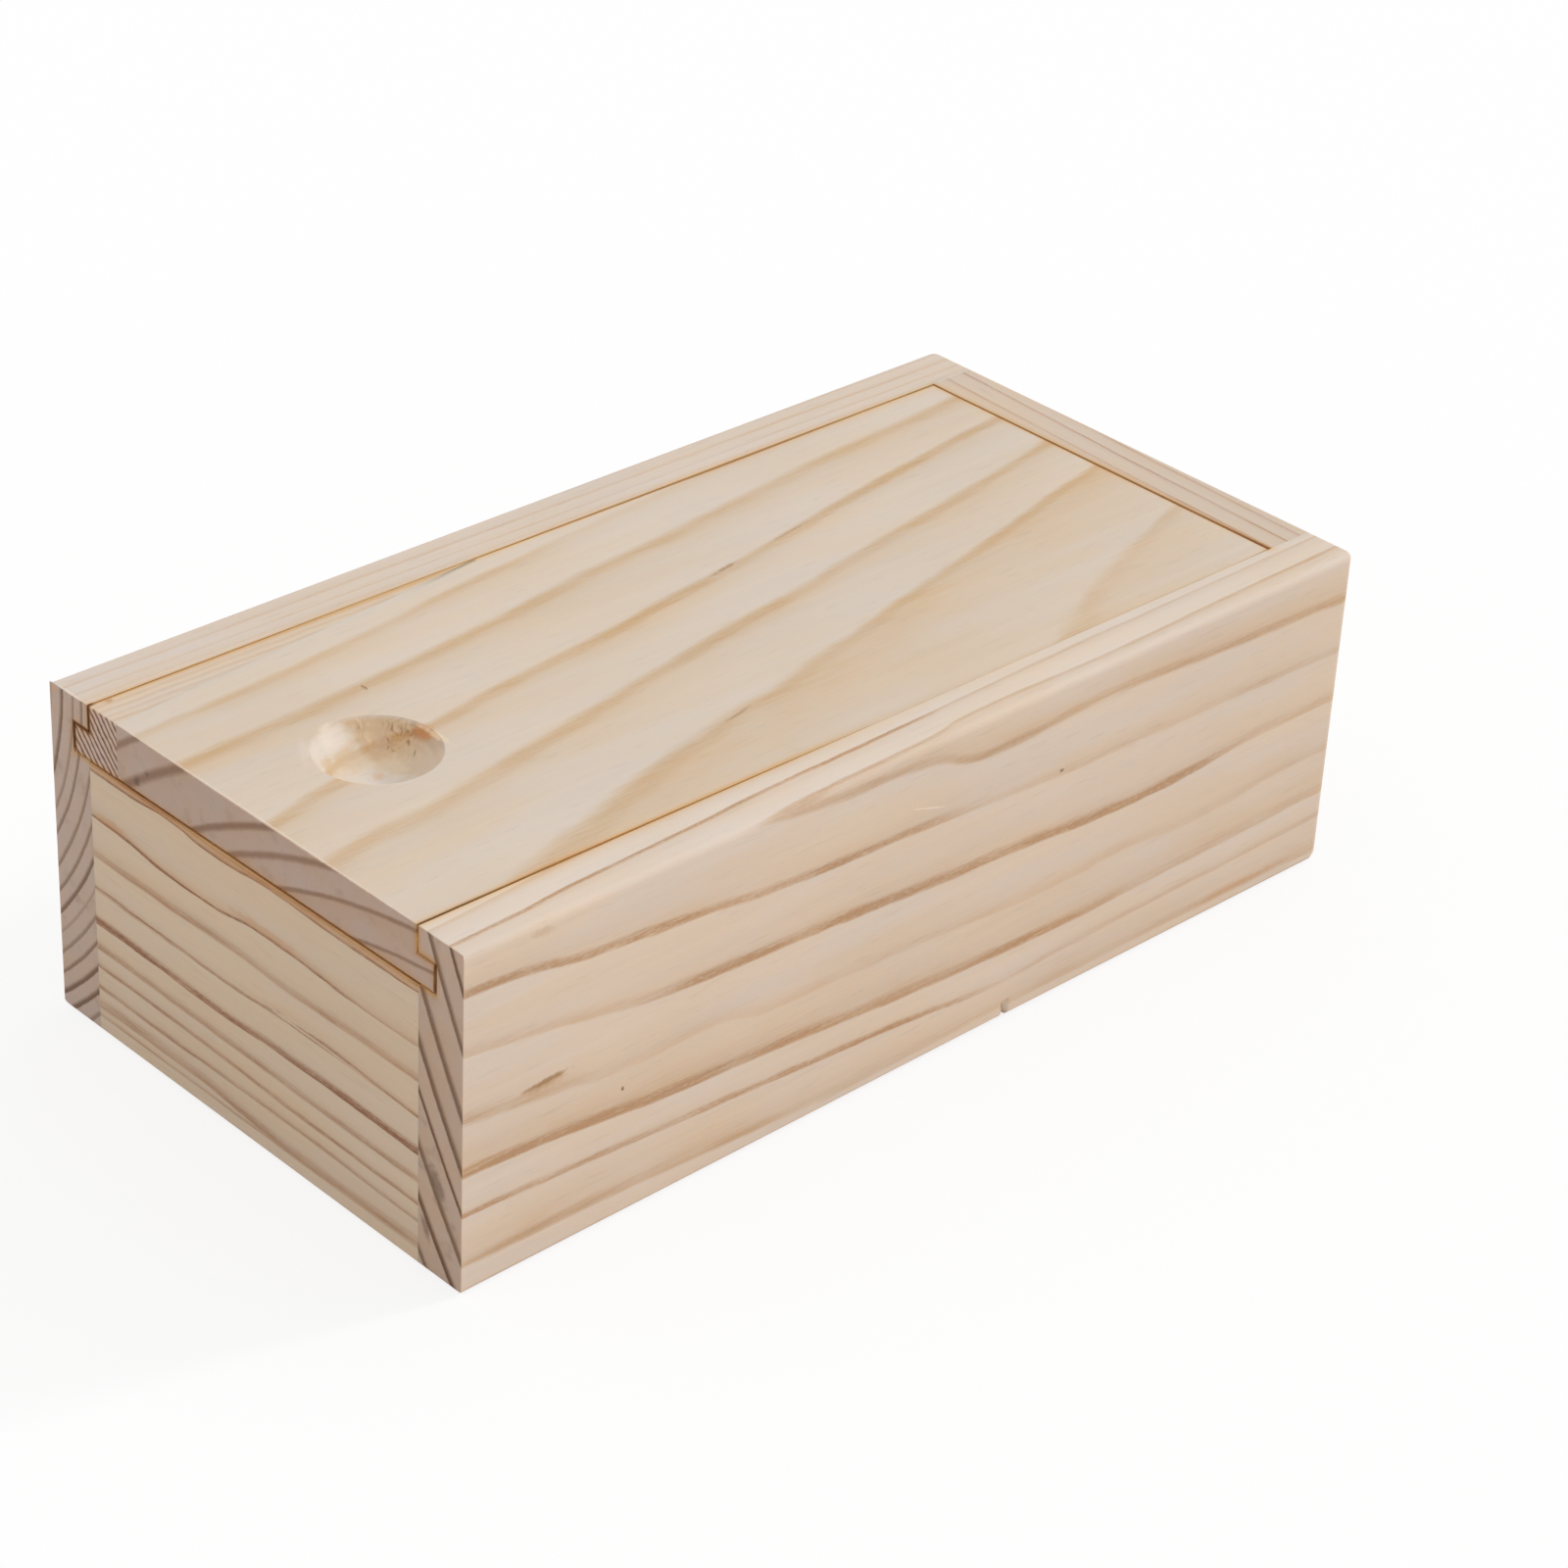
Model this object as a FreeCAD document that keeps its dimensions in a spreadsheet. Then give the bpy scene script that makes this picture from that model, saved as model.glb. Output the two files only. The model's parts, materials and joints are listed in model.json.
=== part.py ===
import FreeCAD, Part
import math
import os

import Sketcher

from FreeCAD import Vector

# A wooden box with a sliding lid. Four boards are glued into a frame, a thin panel closes the
# bottom, and the lid, glued up from two staves, slides in a groove along each side board.
#
# The origin is at the middle of the base. +Y points to the back, +Z points up, and the lid
# leaves the box at the front, towards -Y. All sizes are in millimetres.

SIZES = (
    ("box_length", 145.0, "outside length, front to back"),
    ("box_width", 75.0, "outside width"),
    ("box_height", 45.0, "outside height"),
    ("side_thickness", 7.5, "thickness of each side board"),
    ("front_thickness", 7.5, "thickness of the front board"),
    ("back_thickness", 7.6, "thickness of the back board"),
    ("lip_height", 3.4, "wood left above the lid groove"),
    ("groove_height", 4.1, "height of the lid groove"),
    ("groove_depth", 3.25, "depth of the lid groove into the side board"),
    ("lid_lift", 0.2, "clearance between the groove's floor and the lid"),
    ("tongue_headroom", 0.2, "clearance over the lid's tongues"),
    ("tongue_tip_play", 0.7, "clearance between a tongue's tip and the groove's inner wall"),
    ("lid_side_play", 0.4, "clearance between the lid and the lip on each side"),
    ("lid_end_play", 0.4, "clearance between the lid's rear end and the back board"),
    ("front_board_drop", 0.1, "how far the front board's top lies under the groove's floor"),
    ("strip_width", 5.2, "width of the lid's narrow stave at its front end, seen from above"),
    ("strip_length", 90.0, "length of the narrow stave, where it runs out at its tongue's tip"),
    ("scoop_diameter", 15.5, "finger scoop across its rim"),
    ("scoop_depth", 4.0, "finger scoop at its deepest"),
    ("scoop_from_front", 19.5, "scoop centre from the lid's front end"),
    ("scoop_offset", 1.5, "scoop centre to the left of the box's middle"),
    ("panel_thickness", 3.0, "thickness of the bottom panel"),
    ("panel_recess", 2.5, "height of the bottom panel's underside over the base"),
    ("panel_groove_depth", 3.0, "depth of the groove that holds the bottom panel"),
    ("panel_headroom", 0.1, "clearance over the bottom panel in its groove"),
    ("panel_edge_play", 0.3, "clearance between the panel's edges and its grooves"),
    ("top_edge_radius", 1.5, "rounding of the outer top edges"),
    ("back_edge_radius", 2.2, "rounding of the upright edges at the back"),
    ("bottom_edge_radius", 2.0, "rounding of the outer bottom edges"),
    ("front_edge_radius", 1.0, "rounding of the front bottom edge"),
)

# Places that more than one piece takes its size from, as expressions on the sheet.
INNER_WIDTH = "(Sizes.box_width - 2 * Sizes.side_thickness)"
GROOVE_FLOOR = "(Sizes.box_height - Sizes.lip_height - Sizes.groove_height)"
GROOVE_ROOF = "(Sizes.box_height - Sizes.lip_height)"
BACK_BOARD_FACE = "(Sizes.box_length - Sizes.back_thickness)"
PANEL_GROOVE_ROOF = "(Sizes.panel_recess + Sizes.panel_thickness + Sizes.panel_headroom)"
PANEL_GROOVE_START = "(Sizes.front_thickness - Sizes.panel_groove_depth)"
PANEL_GROOVE_END = f"({BACK_BOARD_FACE} + Sizes.panel_groove_depth)"
LID_UNDERSIDE = f"({GROOVE_FLOOR} + Sizes.lid_lift)"
LID_THICKNESS = f"(Sizes.box_height - {LID_UNDERSIDE})"
LID_LENGTH = f"({BACK_BOARD_FACE} - Sizes.lid_end_play)"
LID_FACE_WIDTH = f"({INNER_WIDTH} - 2 * Sizes.lid_side_play)"
TONGUE_HEIGHT = "(Sizes.groove_height - Sizes.lid_lift - Sizes.tongue_headroom)"
TONGUE_REACH = "(Sizes.groove_depth - Sizes.tongue_tip_play + Sizes.lid_side_play)"
LEFT_TONGUE_TIP = f"-{LID_FACE_WIDTH} / 2 - {TONGUE_REACH}"
JOINT_AT_FRONT = f"({TONGUE_REACH} + Sizes.strip_width)"
SCOOP_RADIUS = (
    "((pow(Sizes.scoop_diameter / 2; 2) + pow(Sizes.scoop_depth; 2)) / (2 * Sizes.scoop_depth))"
)

TOLERANCE = 1e-4
OUTPUT_FOLDER = "parts"

document = FreeCAD.newDocument("sliding_lid_box")
sheet = document.addObject("Spreadsheet::Sheet", "Sizes")


def fill_sheet():
    """Write each driving size into the sheet as a plain number with an alias."""
    for row, (alias, value, meaning) in enumerate(SIZES, start=1):
        sheet.set(f"A{row}", meaning)
        sheet.set(f"B{row}", str(value))
        sheet.setAlias(f"B{row}", alias)
    document.recompute()


def evaluate(expression):
    """Return the value that an expression on the sheet has now."""
    return float(sheet.evalExpression(expression))


def new_body(label, x, y, z):
    """Return an empty body that lies with its own origin at the place x, y, z."""
    body = document.addObject("PartDesign::Body", label)
    body.Label = label
    for axis, place in (("x", x), ("y", y), ("z", z)):
        body.setExpression(f"Placement.Base.{axis}", place)
    return body


def new_sketch(body, name, role, offset="0"):
    """Return a sketch on one of the body's origin planes, moved along the plane's normal."""
    sketch = body.newObject("Sketcher::SketchObject", f"{body.Label}_{name}")
    plane = next(item for item in body.Origin.OriginFeatures if item.Role == role)
    sketch.AttachmentSupport = (plane, [""])
    sketch.MapMode = "FlatFace"
    sketch.setExpression("AttachmentOffset.Base.z", offset)
    return sketch


def name_constraint(sketch, name, constraint, expression):
    """Add a constraint to the sketch and bind its value to an expression."""
    number = sketch.addConstraint(constraint)
    sketch.renameConstraint(number, name)
    sketch.setExpression(f"Constraints.{name}", expression)


def draw_outline(sketch, corners):
    """Draw a closed outline of straight lines through corners given as pairs of expressions."""
    points = [Vector(evaluate(x), evaluate(y), 0) for x, y in corners]
    count = len(points)
    for index in range(count):
        sketch.addGeometry(Part.LineSegment(points[index], points[(index + 1) % count]), False)
    for index, (point, corner) in enumerate(zip(points, corners)):
        following = (index + 1) % count
        sketch.addConstraint(Sketcher.Constraint("Coincident", index, 2, following, 1))
        across = Sketcher.Constraint("DistanceX", -1, 1, index, 1, point.x)
        name_constraint(sketch, f"corner_{index}_x", across, corner[0])
        along = Sketcher.Constraint("DistanceY", -1, 1, index, 1, point.y)
        name_constraint(sketch, f"corner_{index}_y", along, corner[1])


def rectangle(x_low, x_high, y_low, y_high):
    """Return the four corners of a rectangle, as pairs of expressions."""
    return ((x_low, y_low), (x_high, y_low), (x_high, y_high), (x_low, y_high))


def pad(body, name, sketch, length, reverse=False):
    """Raise a solid from the sketch."""
    feature = body.newObject("PartDesign::Pad", f"{body.Label}_{name}")
    feature.Profile = sketch
    feature.setExpression("Length", length)
    feature.Reversed = reverse
    document.recompute()


def require_cut(body, before, feature):
    """Stop when a cut has taken no wood away."""
    if body.Shape.Volume > before - TOLERANCE:
        raise RuntimeError(f"{feature.Name} cuts nothing")


def pocket(body, name, sketch, depth, reverse=False):
    """Cut the sketch into the body."""
    before = body.Shape.Volume
    feature = body.newObject("PartDesign::Pocket", f"{body.Label}_{name}")
    feature.Profile = sketch
    feature.setExpression("Length", depth)
    feature.Reversed = reverse
    document.recompute()
    require_cut(body, before, feature)


def lies_on(edge, **planes):
    """Say whether the whole edge lies on each plane given, such as x=0 or z=45."""
    box = edge.BoundBox
    limits = {"x": (box.XMin, box.XMax), "y": (box.YMin, box.YMax), "z": (box.ZMin, box.ZMax)}
    return all(
        abs(bound - place) < TOLERANCE for axis, place in planes.items() for bound in limits[axis]
    )


def round_edges(body, name, radius, chosen):
    """Round the edges of the body's last feature for which chosen(edge) is true."""
    base = body.Tip
    names = [
        f"Edge{number}"
        for number, edge in enumerate(base.Shape.Edges, start=1)
        if chosen(edge)
    ]
    if not names:
        raise RuntimeError(f"{body.Label} has no edge for {name}")
    feature = body.newObject("PartDesign::Fillet", f"{body.Label}_{name}")
    feature.Base = (base, names)
    feature.setExpression("Radius", radius)
    document.recompute()


def round_front_foot(body, width):
    """Round the front bottom edge across the board's width, and no edge that meets it."""
    radius = evaluate("Sizes.front_edge_radius")
    middle = Vector(radius, radius, 0)
    arc = Part.ArcOfCircle(Part.Circle(middle, Vector(0, 0, 1), radius), math.pi, 1.5 * math.pi)
    waste = new_sketch(body, "front_waste", "YZ_Plane")
    waste.addGeometry(Part.LineSegment(Vector(0, 0, 0), Vector(radius, 0, 0)), False)
    waste.addGeometry(Part.LineSegment(Vector(0, 0, 0), Vector(0, radius, 0)), False)
    waste.addGeometry(arc, False)
    waste.addConstraint(Sketcher.Constraint("Horizontal", 0))
    waste.addConstraint(Sketcher.Constraint("Vertical", 1))
    for line, arc_end in ((0, 2), (1, 1)):
        waste.addConstraint(Sketcher.Constraint("Coincident", line, 1, -1, 1))
        waste.addConstraint(Sketcher.Constraint("Tangent", line, 2, 2, arc_end))
    rounding = Sketcher.Constraint("Radius", 2, radius)
    name_constraint(waste, "rounding", rounding, "Sizes.front_edge_radius")
    pocket(body, "front_rounding", waste, width, reverse=True)


def build_side_board(label, is_left):
    """Build a side board: full length and height, with the lid's and the panel's grooves.

    The board's own x runs from left to right through its thickness, its y from the front end.
    """
    left_face = "-Sizes.box_width / 2" if is_left else f"{INNER_WIDTH} / 2"
    body = new_body(label, left_face, "-Sizes.box_length / 2", "0")
    outline = new_sketch(body, "outline", "XY_Plane")
    draw_outline(outline, rectangle("0", "Sizes.side_thickness", "0", "Sizes.box_length"))
    pad(body, "board", outline, "Sizes.box_height")

    inner_face = "Sizes.side_thickness" if is_left else "0"
    lid_groove = new_sketch(body, "lid_groove_outline", "YZ_Plane", inner_face)
    draw_outline(lid_groove, rectangle("0", BACK_BOARD_FACE, GROOVE_FLOOR, GROOVE_ROOF))
    pocket(body, "lid_groove", lid_groove, "Sizes.groove_depth", reverse=not is_left)

    panel_groove = new_sketch(body, "panel_groove_outline", "YZ_Plane", inner_face)
    draw_outline(
        panel_groove,
        rectangle(PANEL_GROOVE_START, PANEL_GROOVE_END, "Sizes.panel_recess", PANEL_GROOVE_ROOF),
    )
    pocket(body, "panel_groove", panel_groove, "Sizes.panel_groove_depth", reverse=not is_left)

    outer = 0.0 if is_left else evaluate("Sizes.side_thickness")
    inner = evaluate(inner_face)
    back = evaluate("Sizes.box_length")
    top = evaluate("Sizes.box_height")

    def runs_round(edge, height):
        """Say whether the edge is one of those that run round the outside at this height."""
        return lies_on(edge, z=height) and not lies_on(edge, x=inner) and not lies_on(edge, y=0)

    round_edges(
        body, "back_rounding", "Sizes.back_edge_radius", lambda edge: lies_on(edge, x=outer, y=back)
    )
    round_edges(
        body, "bottom_rounding", "Sizes.bottom_edge_radius", lambda edge: runs_round(edge, 0)
    )
    round_edges(body, "top_rounding", "Sizes.top_edge_radius", lambda edge: runs_round(edge, top))
    round_front_foot(body, "Sizes.side_thickness")
    return body


def build_cross_board(label, y, height, thickness, panel_side):
    """Build a board that closes one end of the box, between the side boards.

    The board's own x runs across the box and its y through its thickness, from the front.
    panel_side is the y of the face that has the bottom panel's groove.
    """
    body = new_body(label, f"-{INNER_WIDTH} / 2", y, "0")
    outline = new_sketch(body, "outline", "XY_Plane")
    draw_outline(outline, rectangle("0", INNER_WIDTH, "0", thickness))
    pad(body, "board", outline, height)

    # The XZ plane's normal points to the front, so a face further back has a negative offset.
    groove = new_sketch(body, "panel_groove_outline", "XZ_Plane", f"-1 * {panel_side}")
    draw_outline(groove, rectangle("0", INNER_WIDTH, "Sizes.panel_recess", PANEL_GROOVE_ROOF))
    pocket(
        body, "panel_groove", groove, "Sizes.panel_groove_depth", reverse=panel_side != "0"
    )
    return body


def build_front_board():
    """Build the front board, low enough for the lid to slide over it."""
    body = build_cross_board(
        "front_board",
        "-Sizes.box_length / 2",
        f"{GROOVE_FLOOR} - Sizes.front_board_drop",
        "Sizes.front_thickness",
        "Sizes.front_thickness",
    )
    round_front_foot(body, INNER_WIDTH)
    return body


def build_back_board():
    """Build the back board, full height, which stops the lid."""
    body = build_cross_board(
        "back_board",
        f"{BACK_BOARD_FACE} - Sizes.box_length / 2",
        "Sizes.box_height",
        "Sizes.back_thickness",
        "0",
    )
    back = evaluate("Sizes.back_thickness")
    top = evaluate("Sizes.box_height")
    round_edges(
        body, "bottom_rounding", "Sizes.bottom_edge_radius", lambda edge: lies_on(edge, y=back, z=0)
    )
    round_edges(
        body, "top_rounding", "Sizes.top_edge_radius", lambda edge: lies_on(edge, y=back, z=top)
    )
    return body


def build_bottom_panel():
    """Build the bottom panel, which lies in the grooves of all four boards."""
    reach = "(Sizes.panel_groove_depth - Sizes.panel_edge_play)"
    body = new_body(
        "bottom_panel",
        f"-{INNER_WIDTH} / 2 - {reach}",
        f"{PANEL_GROOVE_START} + Sizes.panel_edge_play - Sizes.box_length / 2",
        "Sizes.panel_recess",
    )
    outline = new_sketch(body, "outline", "XY_Plane")
    width = f"{INNER_WIDTH} + 2 * {reach}"
    length = f"{PANEL_GROOVE_END} - {PANEL_GROOVE_START} - 2 * Sizes.panel_edge_play"
    draw_outline(outline, rectangle("0", width, "0", length))
    pad(body, "panel", outline, "Sizes.panel_thickness")
    return body


def build_stave(label, corners, length):
    """Build a stave of the lid by drawing its cross-section along the lid.

    The stave's own x starts at the tip of the left tongue and its y at the lid's front end.
    """
    body = new_body(label, LEFT_TONGUE_TIP, "-Sizes.box_length / 2", LID_UNDERSIDE)
    section = new_sketch(body, "section", "XZ_Plane")
    draw_outline(section, corners)
    pad(body, "stave", section, length, reverse=True)
    return body


def cut_glue_joint(body, waste_corners):
    """Cut a stave to the sloping glue joint, through its whole thickness."""
    waste = new_sketch(body, "joint_waste", "XY_Plane")
    draw_outline(waste, waste_corners)
    pocket(body, "joint", waste, LID_THICKNESS, reverse=True)


def build_lid_edge_strip():
    """Build the lid's narrow stave, a wedge that carries the front of the left tongue."""
    body = build_stave(
        "lid_edge_strip",
        (
            ("0", "0"),
            (JOINT_AT_FRONT, "0"),
            (JOINT_AT_FRONT, LID_THICKNESS),
            (TONGUE_REACH, LID_THICKNESS),
            (TONGUE_REACH, TONGUE_HEIGHT),
            ("0", TONGUE_HEIGHT),
        ),
        "Sizes.strip_length",
    )
    joint_front = (JOINT_AT_FRONT, "0")
    joint_rear = ("0", "Sizes.strip_length")
    cut_glue_joint(body, (joint_front, (JOINT_AT_FRONT, "Sizes.strip_length"), joint_rear))
    return body


def build_lid_board():
    """Build the lid's wide stave, with the rest of both tongues and the finger scoop."""
    full_width = f"({LID_FACE_WIDTH} + 2 * {TONGUE_REACH})"
    right_edge = f"({LID_FACE_WIDTH} + {TONGUE_REACH})"
    body = build_stave(
        "lid_board",
        (
            ("0", "0"),
            (full_width, "0"),
            (full_width, TONGUE_HEIGHT),
            (right_edge, TONGUE_HEIGHT),
            (right_edge, LID_THICKNESS),
            (TONGUE_REACH, LID_THICKNESS),
            (TONGUE_REACH, TONGUE_HEIGHT),
            ("0", TONGUE_HEIGHT),
        ),
        LID_LENGTH,
    )
    cut_glue_joint(body, (("0", "0"), (JOINT_AT_FRONT, "0"), ("0", "Sizes.strip_length")))
    cut_scoop(body, f"({full_width} / 2 - Sizes.scoop_offset)")
    return body


def cut_scoop(body, centre_x):
    """Cut the finger scoop, a part of a ball, out of the stave's top face."""
    ball = evaluate(SCOOP_RADIUS)
    floor = evaluate(f"{LID_THICKNESS} - Sizes.scoop_depth")
    middle = Vector(evaluate(centre_x), floor + ball, 0)
    foot = Vector(middle.x, middle.y - ball, 0)
    head = Vector(middle.x, middle.y + ball, 0)
    side = Vector(middle.x + ball, middle.y, 0)

    before = body.Shape.Volume
    profile = new_sketch(body, "scoop_profile", "XZ_Plane", "-1 * Sizes.scoop_from_front")
    profile.addGeometry(Part.LineSegment(head, foot), False)
    profile.addGeometry(Part.Arc(foot, side, head), False)
    for first, first_end, second, second_end in ((0, 2, 1, 1), (0, 1, 1, 2)):
        profile.addConstraint(
            Sketcher.Constraint("Coincident", first, first_end, second, second_end)
        )
    profile.addConstraint(Sketcher.Constraint("Vertical", 0))
    profile.addConstraint(Sketcher.Constraint("PointOnObject", 1, 3, 0))
    across = Sketcher.Constraint("DistanceX", -1, 1, 0, 2, foot.x)
    name_constraint(profile, "centre_x", across, centre_x)
    up = Sketcher.Constraint("DistanceY", -1, 1, 0, 2, foot.y)
    name_constraint(profile, "floor_height", up, f"{LID_THICKNESS} - Sizes.scoop_depth")
    name_constraint(profile, "ball_radius", Sketcher.Constraint("Radius", 1, ball), SCOOP_RADIUS)

    scoop = body.newObject("PartDesign::Groove", "lid_board_scoop")
    scoop.Profile = profile
    scoop.ReferenceAxis = (profile, ["Edge1"])
    scoop.Angle = 360
    document.recompute()
    require_cut(body, before, scoop)


def check_document():
    """Stop when any object of the document has failed."""
    for item in document.Objects:
        if {"Invalid", "Error"} & set(item.State):
            raise RuntimeError(f"{item.Name} failed: {item.State}")


def export(bodies):
    """Check each body's shape and write it to its own STEP file."""
    for body in bodies:
        shape = body.Shape
        if shape.isNull() or not shape.isValid() or len(shape.Solids) != 1:
            raise RuntimeError(f"{body.Label} is not one valid solid")
    os.makedirs(OUTPUT_FOLDER, exist_ok=True)
    for body in bodies:
        body.Shape.exportStep(os.path.join(OUTPUT_FOLDER, f"{body.Label}.step"))
        print(f"{body.Label}: {body.Shape.Volume / 1000:.2f} cm3")


fill_sheet()
boards = (
    build_side_board("left_side_board", True),
    build_side_board("right_side_board", False),
    build_front_board(),
    build_back_board(),
    build_bottom_panel(),
    build_lid_board(),
    build_lid_edge_strip(),
)
document.recompute()
check_document()
export(boards)
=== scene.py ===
"""A small pine box with a sliding lid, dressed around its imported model.

Every length here is in millimetres unless its name ends in _m. The box lies with its length
along Y, its front at -Y, and rests on Z = 0. A mesh is turned to metres as it is finished.
"""

import json
import logging
import math
from dataclasses import dataclass
from enum import Enum
from functools import partialmethod
from typing import Callable, Iterable, Optional, Sequence, Union

import bmesh
import bpy
from mathutils import Matrix, Vector, noise

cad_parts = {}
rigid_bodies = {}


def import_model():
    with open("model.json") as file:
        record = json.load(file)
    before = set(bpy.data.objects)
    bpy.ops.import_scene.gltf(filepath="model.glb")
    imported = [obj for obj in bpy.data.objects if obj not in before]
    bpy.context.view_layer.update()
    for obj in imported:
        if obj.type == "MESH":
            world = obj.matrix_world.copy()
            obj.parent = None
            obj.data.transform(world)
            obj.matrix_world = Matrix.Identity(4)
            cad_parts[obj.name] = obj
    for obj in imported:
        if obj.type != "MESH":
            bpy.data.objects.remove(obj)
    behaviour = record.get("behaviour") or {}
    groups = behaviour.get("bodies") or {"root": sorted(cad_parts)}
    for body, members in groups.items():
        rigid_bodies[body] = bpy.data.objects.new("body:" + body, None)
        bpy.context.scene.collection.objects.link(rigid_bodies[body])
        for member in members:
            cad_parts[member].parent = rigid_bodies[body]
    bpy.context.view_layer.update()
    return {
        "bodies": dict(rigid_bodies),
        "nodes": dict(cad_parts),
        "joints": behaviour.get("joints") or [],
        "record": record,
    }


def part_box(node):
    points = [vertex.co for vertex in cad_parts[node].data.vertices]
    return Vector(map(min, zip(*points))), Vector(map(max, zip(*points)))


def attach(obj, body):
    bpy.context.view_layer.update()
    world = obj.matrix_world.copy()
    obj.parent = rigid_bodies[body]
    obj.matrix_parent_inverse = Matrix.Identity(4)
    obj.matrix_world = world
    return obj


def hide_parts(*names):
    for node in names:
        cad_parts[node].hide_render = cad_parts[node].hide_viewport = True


LOG = logging.getLogger("sliding_lid_box")
MM = 0.001
SAME = 1e-3
HAIR = 1e-4
HALF_LENGTH = 72.5
WIDEST_ROUNDING = 2.0
SOAK_SHARE = 0.2
SOAK_DEPTH = 1.2
SOAK_COLOUR = (1.0, 0.45, 0.2)
END_GRAIN_FROM = (0.55, 0.92)
BUMP = {"Strength": 0.5, "Distance": 0.04 * MM}

Socket = bpy.types.NodeSocket
Value = Union[float, Sequence[float], Socket]
Triple = tuple[float, float, float]
Course = tuple[tuple[float, float], ...]


class Axis(Enum):
    """The box's own directions, with the place of each in a vector."""

    WIDTH = 0
    LENGTH = 1
    HEIGHT = 2


class Body(Enum):
    """What moves together."""

    BOX = "box"
    LID = "lid"


class Slot(Enum):
    """Names for where a piece takes its finish from; they are passed on but never read."""

    SIDE_BOARD = "side_board_pine"
    END_BOARD = "end_board_pine"
    BOTTOM = "bottom_pine"
    LID = "lid_pine"


def paint(red: float, green: float, blue: float) -> tuple[float, float, float, float]:
    """Turns a screen colour into the light values that a shader takes.

    Args:
        red: red, 0 to 255.
        green: green, 0 to 255.
        blue: blue, 0 to 255.

    Returns:
        Red, green, blue and a full alpha.
    """
    parts = [value / 255 for value in (red, green, blue)]
    light = [p / 12.92 if p <= 0.04045 else ((p + 0.055) / 1.055) ** 2.4 for p in parts]
    return (*light, 1.0)


# Painted warm shade for the scoop's shaded wall, and a painted highlight for its lit wall.
SCOOP_SHADE_TINT = paint(252, 237, 213)
SCOOP_HIGHLIGHT_TINT = (1.07, 1.11, 1.16, 1.0)
WHITE = (1.0, 1.0, 1.0, 1.0)


def near(value: float, place: float) -> bool:
    """Says whether two places are the same."""
    return abs(value - place) < SAME


def rise(value: float, begins: float, sharpness: float) -> float:
    """Rises from 0 to 1 about the place where something begins."""
    return 0.5 + 0.5 * math.tanh(sharpness * (value - begins))


def stand(name: str, data: bpy.types.ID) -> bpy.types.Object:
    """Puts an object in the scene.

    Args:
        name: its name.
        data: its mesh, lamp or camera.

    Returns:
        The object.
    """
    thing = bpy.data.objects.new(name, data)
    bpy.context.scene.collection.objects.link(thing)
    return thing


# ---------------------------------------------------------------- shader wiring


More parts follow.
